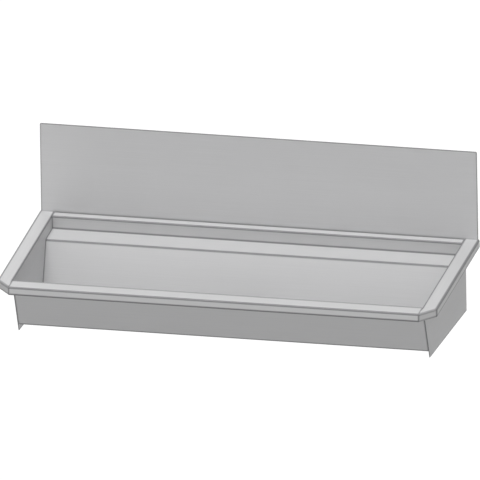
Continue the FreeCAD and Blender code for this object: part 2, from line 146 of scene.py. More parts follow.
class SinkTroughSizes(PropertyGroup):
    """Section of the folded trough and its end panels."""
    sheet: length("Sheet", "Thickness of the folded sheet", 1.5 * MM)
    bend_inside: length("Bend", "Inside radius of every fold", 1.5 * MM)
    ledge_depth: length("Ledge depth", "Wall to the drop wall", 29.5 * MM)
    flange_height: length("Flange height", "Rear flange behind the ledge", 24 * MM)
    ledge_drop: length("Ledge drop", "Height of the drop wall", 30 * MM)
    shelf_depth: length("Shelf depth", "Drop wall to the back slope", 68 * MM)
    shelf_fall: length("Shelf fall", "Fall of the shelf to the bowl", 1 * MM)
    bowl_front_depth: length("Bowl depth", "Rim to the front foot of the floor", 125 * MM)
    front_rim: length("Front rim", "Width of the flat front rim", 44 * MM)
    lip_height: length("Lip height", "Turned-down lip of the rim", 20 * MM)
    lip_return: length("Lip return", "Lip's inward return", 9 * MM)
    corner_cut: length("Corner cut", "How far back the cut-off corner reaches", 41 * MM)
    seam_round: length("Seam round", "Round between the end panel and its rim", 0.8 * MM)
    back_slope: angle("Back slope", "Back slope off the vertical", 21)
    floor_fall: angle("Floor fall", "Fall of the floor to the back", 4.5)
    front_slope: angle("Front wall", "Front wall off the vertical", 23)


class SinkWasteSizes(PropertyGroup):
    """Pressed recess, waste fitting and lift-out strainer."""
    recess_depth: length("Recess depth", "Pressing below the floor", 8 * MM)
    recess_radius: length("Recess radius", "Flat of the pressing", 42 * MM)
    hole_radius: length("Hole radius", "Hole in the pressing", 24.6 * MM)
    seat_radius: length("Seat radius", "Seat of the strainer", 28.4 * MM)
    barrel_radius: length("Barrel radius", "Over the thread", 23.9 * MM)
    spigot_radius: length("Spigot radius", "Plain end below the thread", 23.6 * MM)
    throat_radius: length("Throat radius", "Bore above the cross bars", 21.5 * MM)
    outlet_radius: length("Outlet radius", "Bore at the outlet", 19.5 * MM)
    thread_pitch: length("Thread pitch", "Pitch of the waste's thread", 2.3 * MM)
    basket_sheet: length("Basket sheet", "Thickness of the strainer", 0.8 * MM)


class SinkFinishes(PropertyGroup):
    """Colours of the finishes."""
    steel: colour("Satin steel", "Brushed sheet", (0.575, 0.575, 0.58))
    # Painted shade laid along folds, edges and seams, darker than the steel.
    painted_fold_shade: colour("Fold line", "Burnished folds, edges and seams", (0.11, 0.11, 0.115))
    bracket: colour("Bracket steel", "Mill-finish strip", (0.43, 0.43, 0.44))
    polished: colour("Polished steel", "Waste and strainer", (0.5, 0.5, 0.505))
    brass: colour("Brass", "Backnut", (0.60, 0.43, 0.20))
    rubber: colour("Rubber", "Gasket, washer and seal", (0.035, 0.035, 0.037))
    pad: colour("Damping pad", "Pads under the floor", (0.075, 0.075, 0.08))
    fibre: colour("Fibre", "Washer under the backnut", (0.33, 0.075, 0.045))
    floor: colour("Floor", "Studio floor", (0.42, 0.42, 0.42))


class SinkStage(PropertyGroup):
    """Camera, floor and light."""
    azimuth: angle("Azimuth", "Camera to the right of the front", 12.87)
    elevation: angle("Elevation", "Camera above the horizon", 21.11)
    roll: angle("Roll", "Lean of the picture to the left", 0.9)
    view_width: length("View width", "Width of the picture at the sink", 1.0829)
    floor_drop: length("Floor drop", "Rim to the floor", 0.85)
    ambient: amount("Ambient", "Light from all round", 0.02)
    top_light: amount("Top light", "Soft light from above", 2.85)
    front_light: amount("Front light", "Soft light from the front", 0.9)
    right_light: amount("Right light", "Soft light from the right", 0.26)
    back_light: amount("Back light", "Soft light from above and behind", 0.22)


# ---- Surfaces ----

def unit(vectors):
    """Vectors made one long, along the last axis."""
    return vectors / np.linalg.norm(vectors, axis=-1, keepdims=True)


def fade(distance, margin):
    """1 at no distance, falling in a straight line to 0 at the margin."""
    return np.clip(1 - np.abs(distance) / margin, 0, 1)


def folded_profile(corners, sheet, inside, stops=None, margins=None):
    """Both skins of a folded sheet's section, as points in its plane, with the weight of its fold lines.

    The near skin runs straight between the corners and turns each one on an arc. The far skin is the near
    one moved by the thickness to its left, so the two arcs of a fold share a centre: their radii are the
    inside radius, and that plus the thickness. The fold line's weight is whole on each arc and fades out on
    the flats beside it. Stops are extra points on a run, by the run's number. Margins are other widths of
    the fade before and after a corner, by the corner's number.
    """
    corners = np.asarray(corners, float)
    runs = unit(np.diff(corners, axis=0))
    lefts = np.stack([-runs[:, 1], runs[:, 0]], -1)
    share = np.linspace(0, 1, ARC_STEPS + 1)[:, None]
    stops = stops or {}
    margins = margins or {}
    points, normals, lines = [corners[:1]], [lefts[:1]], [np.zeros(1)]

    def straight(rows, run):
        """Points on a run, with its own normal and no fold line."""
        points.append(rows)
        normals.append(np.repeat(lefts[run:run + 1], len(rows), 0))
        lines.append(np.zeros(len(rows)))

    for run in range(len(runs)):
        if run in stops:
            straight(np.asarray(stops[run], float), run)
        if run + 1 == len(runs):
            break
        before, after, left = runs[run], runs[run + 1], lefts[run]
        turn = math.atan2(before[0] * after[1] - before[1] * after[0], before @ after)
        side = math.copysign(1, turn)
        radius = inside + (sheet if side > 0 else 0)
        reach = radius * math.tan(abs(turn) / 2)
        corner = corners[run + 1]
        centre = corner - before * reach + left * side * radius
        facing = np.cos(share * turn) * left + np.sin(share * turn) * np.array([-left[1], left[0]])
        margin_before, margin_after = margins.get(run + 1, (FOLD_MARGIN, FOLD_MARGIN))
        straight((corner - before * (reach + margin_before))[None], run)
        points.append(centre - side * radius * facing)
        normals.append(facing)
        lines.append(np.ones(len(share)))
        straight((corner + after * (reach + margin_after))[None], run + 1)
    straight(corners[-1:], len(runs) - 1)
    near = np.concatenate(points)
    return near, near + np.concatenate(normals) * sheet, np.concatenate(lines)


def along_x(section, places):
    """Grid of a (Y, Z) section carried along X to each place."""
    return stacked(np.asarray(places, float)[:, None], section[:, 0], section[:, 1])


def upright(columns, y, rows):
    """Grid in a plane parallel to the wall."""
    return stacked(np.asarray(columns)[:, None], y, np.asarray(rows))


def rectangle_loop(columns, rows):
    """Closed loop of points round a rectangle with the given column and row values."""
    return np.concatenate([
        stacked(columns, rows[0])[:-1],
        stacked(columns[-1], rows)[:-1],
        stacked(columns[::-1], rows[-1])[:-1],
        stacked(columns[0], rows[::-1])])


def on_slot(points, straight, radius):
    """Nearest points of a round-ended slot about the origin: each point is drawn in to the slot's middle
    line, half as long as `straight` each way along the first axis, and pushed out again by the radius."""
    core = points * 0
    core[:, 0] = np.clip(points[:, 0], -straight / 2, straight / 2)
    return core + unit(points - core) * radius


def blended(start, end, shares):
    """Grid whose rows go from one line of points to another by the given shares."""
    return start + (end - start) * np.asarray(shares, float)[:, None, None]


def round_steps(steps):
    """Angles of a whole turn in so many steps."""
    return np.linspace(0, FULL_TURN, steps + 1)


def off_sixth(steps):
    """Angle from the nearest sixth of a turn, at each step round."""
    return (round_steps(steps) + SIXTH / 2) % SIXTH - SIXTH / 2


def stacked(*parts):
    """Arrays or numbers that fit each other, stacked as the coordinates of points."""
    return np.stack(np.broadcast_arrays(*parts), -1)


def polar(radius, turn, *height):
    """Points by their distance from an axis and their angle about it, with or without a height."""
    return stacked(radius * np.cos(turn), radius * np.sin(turn), *height)


def turned(radius, height, turn):
    """Grid of (radius, height) rows carried round the Z axis, at the given angles. The radius may also
    change with the angle."""
    radius = np.asarray(radius, float)
    if radius.ndim == 1:
        radius = radius[:, None]
    return polar(radius, turn, np.asarray(height, float)[:, None])


def rounded_loop(corners, radius, steps=4):
    """Closed loop through the corners of a section, each turned on a parabola that starts and ends at the
    given distance from it: point = start (1-t)^2 + corner 2t(1-t) + end t^2."""
    corners = np.asarray(corners, float)
    radius = np.broadcast_to(np.asarray(radius, float), len(corners))[:, None, None]
    back = unit(np.roll(corners, 1, 0) - corners)[:, None]
    ahead = unit(np.roll(corners, -1, 0) - corners)[:, None]
    share = np.linspace(0, 1, steps + 1)[None, :, None]
    middle = corners[:, None]
    loop = (middle + back * radius) * (1 - share) ** 2 + middle * 2 * share * (1 - share)
    loop = (loop + (middle + ahead * radius) * share ** 2).reshape(-1, 2)
    return np.concatenate([loop, loop[:1]])


def rounded_rectangle(left, right, low, high, edge):
    """Loop of a rectangle with its corners rounded."""
    return rounded_loop([(left, low), (right, low), (right, high), (left, high)], edge)


def helix_wave(height, turn, pitch):
    """Depth of a V thread below its crest, 0 to 1, at each height and angle: a triangle wave of the height
    in pitches less the angle in turns."""
    phase = np.asarray(height)[:, None] / pitch - turn / FULL_TURN
    return np.abs(2 * (phase - np.floor(phase)) - 1)


def bar(section, ends):
    """Closed grid of a section's loop carried along X, with each end drawn together at the loop's
    middle."""
    body = along_x(section, ends)
    middle = body[:, :-1].mean(axis=1, keepdims=True) + body * 0
    return np.concatenate([middle[:1], body, middle[-1:]])


def facing_front(grid, place):
    """A part worked out about the Z axis, laid to point out of the wall at a place."""
    return stacked(grid[..., 0], -grid[..., 2], grid[..., 1]) + np.asarray(place)


def at_drain(grid):
    """A part worked out about the Z axis, moved to the drain's axis."""
    return grid + np.array([0, DRAIN_Y, 0])


# ---- Meshes ----

def welded(points):
    """Index of the vertex each row of numbers belongs to, and the first row of each vertex."""
    keys = np.round(points / WELD_DISTANCE).astype(np.int64)
    _, first, index = np.unique(keys, axis=0, return_index=True, return_inverse=True)
    return index.reshape(-1), first


def grid_quads(rows, columns, start):
    """Quads between neighbouring points of a grid, whose points are numbered row by row from the start."""
    index = np.arange(rows * columns).reshape(rows, columns) + start
    return np.stack([index[:-1, :-1], index[1:, :-1], index[1:, 1:], index[:-1, 1:]], -1).reshape(-1, 4)


def quad_normals(points, quads):
    """Each quad's normal times twice its area: the cross product of its diagonals."""
    a, b, c, d = (points[quads[:, side]] for side in range(4))
    return np.cross(c - a, d - b)


def outward_quads(grids, points, outward):
    """Quads of all the grids, whose points follow each other. Those of a grid are turned round where their
    normals run against `outward`, a function of the grid and its quads."""
    quads = []
    start = 0
    for grid in grids:
        rows, columns = grid.shape[:2]
        own = grid_quads(rows, columns, start)
        if (quad_normals(points, own) * outward(grid, own)).sum() < 0:
            own = own[:, ::-1]
        quads.append(own)
        start += rows * columns
    return np.concatenate(quads)


def write_mesh(name, points, quads, lines, smooth_angle=35):
    """A mesh object from points, quads and the weight of the fold lines. Quads that lost a corner become
    triangles, and those that lost two are left out."""
    index, first = welded(points)
    weight = np.zeros(len(first))
    np.maximum.at(weight, index, lines)
    quads = index[quads]
    same = quads == np.roll(quads, -1, axis=1)
    whole = quads[same.sum(1) == 0]
    three = same.sum(1) == 1
    triangles = quads[three][~same[three]].reshape(-1, 3)
    used, compact = np.unique(np.concatenate([whole.ravel(), triangles.ravel()]), return_inverse=True)
    faces = compact[:whole.size].reshape(-1, 4).tolist() + compact[whole.size:].reshape(-1, 3).tolist()
    mesh = bpy.data.meshes.new(name)
    mesh.from_pydata(points[first][used].tolist(), [], faces)
    # The fold line weight goes on as an attribute, which the materials turn into painted shade along folds,
    # edges and seams.
    line = mesh.attributes.new("painted_fold_shade", "FLOAT", "POINT")
    line.data.foreach_set("value", weight[used].astype(np.float32))
    mesh.polygons.foreach_set("use_smooth", np.ones(len(mesh.polygons), bool))
    mesh.set_sharp_from_angle(angle=math.radians(smooth_angle))
    mesh.update()
    piece = bpy.data.objects.new(name, mesh)
    bpy.context.scene.collection.objects.link(piece)
    return piece


def sheet_piece(name, patches):
    """Closed sheet from patches of its two skins: each patch is a near grid, a far grid and the fold lines'
    weights. Every free edge of the patches, taken together, gets a wall from skin to skin."""
    near = np.concatenate([patch[0].reshape(-1, 3) for patch in patches])
    far = np.concatenate([patch[1].reshape(-1, 3) for patch in patches])
    lines = np.concatenate([np.broadcast_to(patch[2], patch[0].shape[:2]).ravel() for patch in patches])
    quads = outward_quads([patch[0] for patch in patches], near,
                          lambda grid, own: (near - far)[own].sum(axis=1))
    index, first = welded(np.hstack([near, far]))
    weight = np.zeros(len(first))
    np.maximum.at(weight, index, lines)
    quads = index[quads]
    edges = np.stack([quads, np.roll(quads, -1, axis=1)], -1).reshape(-1, 2)
    edges = edges[edges[:, 0] != edges[:, 1]]
    _, inverse, count = np.unique(np.sort(edges, axis=1), axis=0, return_inverse=True, return_counts=True)
    free = edges[count[inverse.reshape(-1)] == 1]
    total = len(first)
    walls = np.stack([free[:, 1], free[:, 0], free[:, 0] + total, free[:, 1] + total], -1)
    all_quads = np.concatenate([quads, quads[:, ::-1] + total, walls])
    return write_mesh(name, np.concatenate([near[first], far[first]]), all_quads, np.tile(weight, 2))


def solid_piece(name, grids, lines=0.0, smooth_angle=35):
    """One or more closed surfaces, each a single grid that closes on itself, turned to face outwards: the
    signed volume, a third of the sum of place times normal over the surface, is made positive."""
    points = np.concatenate([grid.reshape(-1, 3) for grid in grids])
    quads = outward_quads(grids, points,
                          lambda grid, own: points[own].mean(axis=1) - grid.reshape(-1, 3).mean(axis=0))
    return write_mesh(name, points, quads, np.full(len(points), lines), smooth_angle)


def finish_piece(piece, material, slot, body, *nodes):
    """Gives a piece its material and its place in the frame. The finishes are made with the first piece."""
    if material not in bpy.data.materials:
        build_materials(bpy.context.scene.sink_finishes)
    piece.data.materials.append(bpy.data.materials[material])
    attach(piece, body)
    if nodes:
        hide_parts(*nodes)
    return piece


# ---- Materials ----

class NodeTree:
    """The shader nodes of a material or the world, with short ways to add and join them."""

    def __init__(self, owner):
        owner.use_nodes = True
        self.nodes = owner.node_tree.nodes
        self.links = owner.node_tree.links

    def give(self, socket, value):
        """Joins another node's socket to this one, or sets this one's own value."""
        if isinstance(value, bpy.types.NodeSocket):
            self.links.new(value, socket)
        else:
            socket.default_value = value

    def add(self, kind, values=None, **settings):
        """A new node with its settings, and values for its inputs by name or number."""
        made = self.nodes.new("ShaderNode" + kind)
        for setting, value in settings.items():
            setattr(made, setting, value)
        for socket, value in (values or {}).items():
            self.give(made.inputs[socket], value)
        return made

    def maths(self, operation, first, second):
        """Value worked out from two others, each a socket or a number."""
        return self.add("Math", {0: first, 1: second}, operation=operation).outputs["Value"]

    def seen_directly(self):
        """1 for camera, glossy and transmission rays, and 0 for the others."""
        rays = self.add("LightPath").outputs
        reflected = self.maths("MAXIMUM", rays["Is Camera Ray"], rays["Is Glossy Ray"])
        return self.maths("MAXIMUM", reflected, rays["Is Transmission Ray"])


class MaterialTree(NodeTree):
    """A material with the principled shader, and the patterns that the finishes share."""

    def __init__(self, name):
        self.material = bpy.data.materials.new(name)
        super().__init__(self.material)
        self.shader = self.nodes["Principled BSDF"]

    def place(self, scale, offset=(0, 0, 0)):
        """Object coordinates, moved and then scaled."""
        values = {"Vector": self.add("TexCoord").outputs["Object"], "Location": offset,
                  "Scale": [1 / part for part in scale]}
        return self.add("Mapping", values, vector_type="TEXTURE").outputs["Vector"]

    def noise(self, scale, detail=2.0, offset=(0, 0, 0)):
        """Noise with its own scale along X, Y and Z, where one number is the same along all."""
        if not isinstance(scale, (tuple, list)):
            scale = (scale,) * 3
        values = {"Scale": 1.0, "Detail": detail, "Vector": self.place(scale, offset)}
        return self.add("TexNoise", values).outputs["Fac"]

    def spread(self, source, low, high, from_low=0.3, from_high=0.7):
        """A 0 to 1 pattern spread over a range."""
        values = {"Value": source, "From Min": from_low, "From Max": from_high,
                  "To Min": low, "To Max": high}
        return self.add("MapRange", values).outputs["Result"]

    def mix(self, share, first, second):
        """Colour between two, each a socket or a plain colour. The node's colours are its inputs 6 and
        7."""
        colours = [value if isinstance(value, bpy.types.NodeSocket) else (*value, 1)
                   for value in (first, second)]
        return self.add("Mix", {0: share, 6: colours[0], 7: colours[1]}, data_type="RGBA").outputs[2]

    def lined(self, base, line, strength):
        """A colour with painted shade laid over it along the folds, edges and seams, by the fold line
        weight.
        """
        weight = self.add("Attribute", attribute_name="painted_fold_shade").outputs["Fac"]
        return self.mix(self.maths("MULTIPLY", weight, strength), base, line)

    def bump(self, height, distance, strength):
        """Fine relief on the surface, from a pattern's value."""
        made = self.add("Bump", {"Height": height, "Distance": distance, "Strength": strength})
        self.give(self.shader.inputs["Normal"], made.outputs["Normal"])

    def set(self, **values):
        """Values of the shader's own inputs, by their names in small letters."""
        for name, value in values.items():
            self.give(self.shader.inputs[name.replace("_", " ").title().replace("Ior", "IOR")], value)


def shade(base, factor, lift=0.0):
    """A colour made darker or paler by a factor, and lifted by a constant."""
    return tuple(min(1.0, part * factor + lift) for part in base)


def brushed_steel(name, steel, painted_fold_shade, grain):
    """Satin sheet: fine streaks along the grain change colour, gloss and height a little, a soft mottle
    lies over them, and painted shade darkens folds, edges and seams by the fold lines' weight. Grain
    is the pattern's scale along X, Y and Z."""
    tree = MaterialTree(name)
    streaks = tree.noise(grain, detail=3.0)
    fine = tree.noise([part * 3.1 for part in grain], detail=1.0, offset=(0.3, 0.7, 0.1))
    mottle = tree.noise(9)
    toned = tree.mix(tree.spread(streaks, 0, 1), shade(steel, 0.975), shade(steel, 1.02))
    toned = tree.mix(tree.spread(mottle, 0, 0.35), toned, shade(steel, 0.96))
    # Painted shade: the fold colour laid along folds, edges and seams.
    tree.set(base_color=tree.lined(toned, painted_fold_shade, 0.8), metallic=0.25,
             roughness=tree.spread(fine, 0.40, 0.5), specular_ior_level=0.2)
    tree.bump(tree.maths("ADD", streaks, fine), distance=0.02 * MM, strength=0.35)


def mill_steel(name, base):
    """Strip as rolled: faint lines along X and dull patches."""
    tree = MaterialTree(name)
    lines = tree.noise((7, 420, 420), detail=3.0)
    patches = tree.noise(38, detail=3.0)
    toned = tree.mix(tree.spread(lines, 0, 1), shade(base, 0.92), shade(base, 1.05))
    toned = tree.mix(tree.spread(patches, 0, 0.5, 0.45, 0.7), toned, shade(base, 0.82))
    # Painted shade along the folds: a darker copy of the base laid by the fold line weight.
    tree.set(base_color=tree.lined(toned, shade(base, 0.45), 0.5), metallic=0.8,
             roughness=tree.spread(patches, 0.36, 0.55))
    tree.bump(lines, distance=0.03 * MM, strength=0.4)


def turned_steel(name, base, roughness):
    """Turned metal: rings about the drain's axis or fine lines, with a light haze."""
    tree = MaterialTree(name)
    values = {"Scale": 900.0, "Distortion": 1.5, "Detail Scale": 30.0,
              "Vector": tree.place((1, 1, 1), (0, DRAIN_Y, 0))}
    rings = tree.add("TexWave", values, wave_type="RINGS", rings_direction="Z")
    haze = tree.noise(120, detail=3.0)
    toned = tree.mix(tree.spread(haze, 0, 0.6), base, shade(base, 0.86))
    # Painted shade along folds and hole edges: a darker copy of the base laid by the fold line weight.
    tree.set(base_color=tree.lined(toned, shade(base, 0.3), 0.6), metallic=0.9,
             roughness=tree.spread(haze, roughness * 0.85, roughness * 1.25))
    tree.bump(rings.outputs["Fac"], distance=0.015 * MM, strength=0.3)


def cast_brass(name, base):
    """Cast brass: grainy skin, browner in its hollows."""
    tree = MaterialTree(name)
    grain = tree.noise(900, detail=4.0)
    tarnish = tree.noise(70, detail=3.0)
    toned = tree.mix(tree.spread(tarnish, 0, 0.7), base, shade(base, 0.62))
    tree.set(base_color=toned, metallic=0.9, roughness=tree.spread(grain, 0.34, 0.52))
    tree.bump(grain, distance=0.08 * MM, strength=0.5)


def rubber(name, base):
    """Black rubber with a dusty bloom and a fine moulded grain."""
    tree = MaterialTree(name)
    bloom = tree.noise(45, detail=4.0)
    toned = tree.mix(tree.spread(bloom, 0, 1), base, shade(base, 1.6, lift=0.01))
    tree.set(base_color=toned, roughness=tree.spread(bloom, 0.62, 0.8))
    tree.bump(tree.noise(1500), distance=0.04 * MM, strength=0.4)


def damping_sheet(name, base):
    """Damping pad: a pressed grid of small cells over a grainy, dusty skin."""
    tree = MaterialTree(name)
    values = {"Scale": 1.0, "Randomness": 0.0, "Vector": tree.place((120, 120, 30))}
    cells = tree.add("TexVoronoi", values, feature="DISTANCE_TO_EDGE")
    grain = tree.noise(700, detail=3.0)
    dust = tree.noise(30, detail=4.0)
    raised = tree.spread(cells.outputs["Distance"], 0, 1, 0.04, 0.16)
    toned = tree.mix(tree.spread(dust, 0, 0.8), base, shade(base, 1.5, lift=0.01))
    tree.set(base_color=tree.mix(raised, shade(base, 0.6), toned), roughness=tree.spread(grain, 0.7, 0.9))
    height = tree.maths("ADD", raised, tree.maths("MULTIPLY", grain, 0.3))
    tree.bump(height, distance=0.3 * MM, strength=0.6)


def pressed_fibre(name, base):
    """Red fibre board: short fibres lying flat."""
    tree = MaterialTree(name)
    fibres = tree.noise((160, 700, 1600), detail=4.0)
    toned = tree.mix(tree.spread(fibres, 0, 1), shade(base, 0.7), shade(base, 1.25))
    tree.set(base_color=toned, roughness=0.75)
    tree.bump(fibres, distance=0.05 * MM, strength=0.5)


def tig_weld(name, base):
    """Weld metal: dull straw and blue tints in patches."""
    tree = MaterialTree(name)
    tint = tree.noise(60)
    straw, blue = (0.42, 0.33, 0.2), (0.2, 0.23, 0.34)
    toned = tree.mix(tree.spread(tint, 0, 0.5), base, straw)
    toned = tree.mix(tree.spread(tint, 0, 0.4, 0.55, 0.8), toned, blue)
    tree.set(base_color=toned, metallic=0.85, roughness=tree.spread(tint, 0.32, 0.5))


def build_materials(colours):
    """The finishes, made once. The splashback's sheet is a paler copy of the same steel, painted light that
    lifts its upright face.
    """
    along, across = (5, 620, 620), (620, 5, 620)
    for name, tone, grain in (("satin_steel_along", 1.0, along), ("satin_steel_across", 1.0, across),
                              ("satin_steel_splash_painted_light", 1.08, along)):
        brushed_steel(name, shade(colours.steel, tone), colours.painted_fold_shade, grain)
    mill_steel("mill_steel", colours.bracket)
    turned_steel("polished_steel", colours.polished, 0.2)
    turned_steel("fixing_steel", colours.bracket, 0.34)
    cast_brass("cast_brass", colours.brass)
    rubber("black_rubber", colours.rubber)
    damping_sheet("damping_sheet", colours.pad)
    pressed_fibre("red_fibre", colours.fibre)
    tig_weld("weld_metal", colours.bracket)


# ---- Trough ----

def trough_corners(size):
    """Corners of the trough's upper skin as (Y, Z), from the rear flange to the return of the front lip."""
    back = math.tan(size.back_slope)
    fall = math.tan(size.floor_fall)
    ledge_front = -size.ledge_depth
    shelf_front = ledge_front - size.shelf_depth
    shelf_back_z = RIM_TOP - size.ledge_drop
    shelf_front_z = shelf_back_z - size.shelf_fall
    rim_inner = FRONT + size.front_rim
    foot_z = RIM_TOP - size.bowl_front_depth
    foot_y = rim_inner + size.bowl_front_depth * math.tan(size.front_slope)
    drop = (shelf_front_z - foot_z + (shelf_front - foot_y) * fall) / (1 + back * fall)
    lip_foot = RIM_TOP - size.lip_height
    return np.array([
        (FLANGE_BACK, RIM_TOP - size.flange_height),
        (FLANGE_BACK, RIM_TOP),
        (ledge_front, RIM_TOP),
        (ledge_front, shelf_back_z),
        (shelf_front, shelf_front_z),
        (shelf_front - drop * back, shelf_front_z - drop),
        (foot_y, foot_z),
        (rim_inner, RIM_TOP),
        (FRONT, RIM_TOP),
        (FRONT, lip_foot),
        (FRONT + size.lip_return, lip_foot)])


def floor_height(size, y):
    """Height of the sloping floor's upper skin: the foot's height less the fall over the run from the
    foot."""
    foot_y, foot_z = trough_corners(size)[FLOOR_RUN + 1]
    return foot_z - (np.asarray(y) - foot_y) * math.tan(size.floor_fall)


def soft_higher(first, second, softness):
    """The higher of two heights with a rounded change-over: half of their sum plus the root of their
    difference squared plus the softness squared."""
    return (first + second + np.sqrt((first - second) ** 2 + softness ** 2)) / 2


def recess_height(size, waste, x, y):
    """Height of the pressed recess: flat, then a 45 degree cone up to the sloping floor."""
    softness, blend = 1.2 * MM, 6 * MM
    out = np.hypot(x, y - DRAIN_Y) - waste.recess_radius
    cone = RECESS_Z + soft_higher(out, 0.0, softness) - softness / 2 * fade(out, blend)
    return -soft_higher(-cone, -floor_height(size, y), softness)


def recess_patch(size, waste, columns, rows):
    """Pressed floor between the drain hole and a rectangle in the floor: rows of points on rays from the
    drain's axis, the first ones on circles and the last one on the rectangle. Its normal comes from the
    heights a small step to each side."""
    circles = np.array([waste.hole_radius, 28 * MM, 34 * MM, 39 * MM])
    over_bend = np.array([-1.6, -0.8, 0, 0.8, 1.6])[:, None] * MM
    # Painted shade along the pressing's two bends, by the fold line weight.
    line_width, line_strength, small = 1.7 * MM, 0.6, 0.01 * MM
    centre = np.array([0, DRAIN_Y])
    border = rectangle_loop(columns, rows) - centre
    reach = np.linalg.norm(border, axis=1)
    ray = border / reach[:, None]
    cone_top = (waste.recess_radius + waste.recess_depth) / (1 + math.tan(size.floor_fall) * ray[:, 1])
    radii = np.concatenate([
        np.repeat(circles[:, None], len(ray), 1),
        waste.recess_radius + over_bend + 0 * cone_top,
        cone_top + over_bend,
        reach[None]])
    plan = centre + ray * radii[..., None]

    def height(across=0.0, along=0.0):
        """Height of the recess at points beside those of the plan."""
        return recess_height(size, waste, plan[..., 0] + across, plan[..., 1] + along)

    near = np.dstack([plan, height()])
    near[-1, :, 2] = floor_height(size, near[-1, :, 1])
    slope_x = (height(across=small) - height(across=-small)) / (2 * small)
    slope_y = (height(along=small) - height(along=-small)) / (2 * small)
    normal = unit(stacked(-slope_x, -slope_y, 1.0))
    normal[0] = (0, 0, 1)
    normal[-1] = (0, math.sin(size.floor_fall), math.cos(size.floor_fall))
    weight = np.maximum(fade(radii - waste.recess_radius, line_width), fade(radii - cone_top, line_width))
    weight[-1] = 0
    return near, near - normal * size.sheet, weight * line_strength


def opened_sheet(profile, ends, openings=(), first=0, last=0):
    """Patches of a folded profile carried along X between two ends. Each opening is its own columns and a
    patch that fills its place between two rows of the section."""
    near, far, lines = profile

    def block(columns, rows=slice(None)):
        """Part of the section at some columns. The fold line's weight also fades in beside both ends."""
        columns = np.asarray(columns, float)
        beside_end = np.minimum(np.abs(columns - ends[0]), np.abs(columns - ends[1]))
        weight = np.maximum(lines[rows], fade(beside_end, EDGE_MARGIN)[:, None])
        return along_x(near[rows], columns), along_x(far[rows], columns), weight

    patches = []
    start = [ends[0], ends[0] + EDGE_MARGIN]
    for columns, patch in openings:
        patches += [block([*start, columns[0]]), block(columns, slice(0, first + 1)),
                    block(columns, slice(last, None)), patch]
        start = [columns[-1]]
    patches.append(block([*start, ends[1] - EDGE_MARGIN, ends[1]]))
    return patches


def row_of(section, point):
    """Number of the section's row that lies nearest a point."""
    return int(np.argmin(np.linalg.norm(section - np.asarray(point), axis=1)))


def trough_patches(size, waste):
    """The whole trough: its section carried along X, with the pressed recess in its floor."""
    steps = 14
    half, to_back, to_front = 62 * MM, 51.4 * MM, 64 * MM
    columns = np.linspace(-half, half, steps + 1)
    rows = np.linspace(DRAIN_Y + to_back, DRAIN_Y - to_front, steps + 1)
    stops = stacked(rows, floor_height(size, rows))
    profile = folded_profile(
        trough_corners(size), size.sheet, size.bend_inside, {FLOOR_RUN: stops}, TROUGH_MARGINS)
    first = row_of(profile[0], stops[0])
    opening = (columns, recess_patch(size, waste, columns, rows))
    return opened_sheet(profile, (-HALF_BOWL, HALF_BOWL), [opening], first, first + steps)


# ---- End panels ----

def end_rim_grid(size, inward, steps_back):
    """Plan of the end rim's outer edge moved inward, for the stations from the wall round the cut-off
    corner to the seam with the front rim. A station on the corner's arc lies on the rays from the arc's
    centre up to the bend radius, and beyond it on the mitre, which the stations from the wall don't pass.
    Returns (stations, distances, 2)."""
    radius = size.bend_inside + size.sheet
    run = np.array([HALF_BOWL - HALF_SINK, -size.corner_cut])
    run = unit(run)
    first_in = np.array([-1.0, 0.0])
    last_in = np.array([run[1], -run[0]])
    mitre = (first_in + last_in) / (1 + first_in @ last_in)
    corner = np.array([HALF_SINK, FRONT + size.corner_cut])
    centre = corner + mitre * radius
    inward = np.asarray(inward, float)
    beyond = (inward - radius)[:, None]

    def on_arc(share):
        """Plan of one station on the corner: the arc's centre plus the distance beyond it along the ray."""
        turn = math.acos(first_in @ last_in) * share
        ray = np.array([first_in[0] * math.cos(turn), math.sin(turn)])
        return centre + beyond * np.where(beyond <= 0, ray, mitre)

    back_y = np.maximum(np.asarray(steps_back)[:, None], corner[1] + mitre[1] * inward)
    back = stacked(HALF_SINK - inward, back_y)
    arc = np.stack([on_arc(share) for share in np.linspace(0, 1, ARC_STEPS + 1)])
    seam = stacked(HALF_BOWL, FRONT + inward / abs(run[0]))
    cut_length = np.linalg.norm(seam[0] - arc[-1, 0])
    shares = np.array([EDGE_MARGIN / cut_length, 0.5, 1 - EDGE_MARGIN / cut_length, 1.0])
    return np.concatenate([back, arc, blended(arc[-1], seam, shares)])


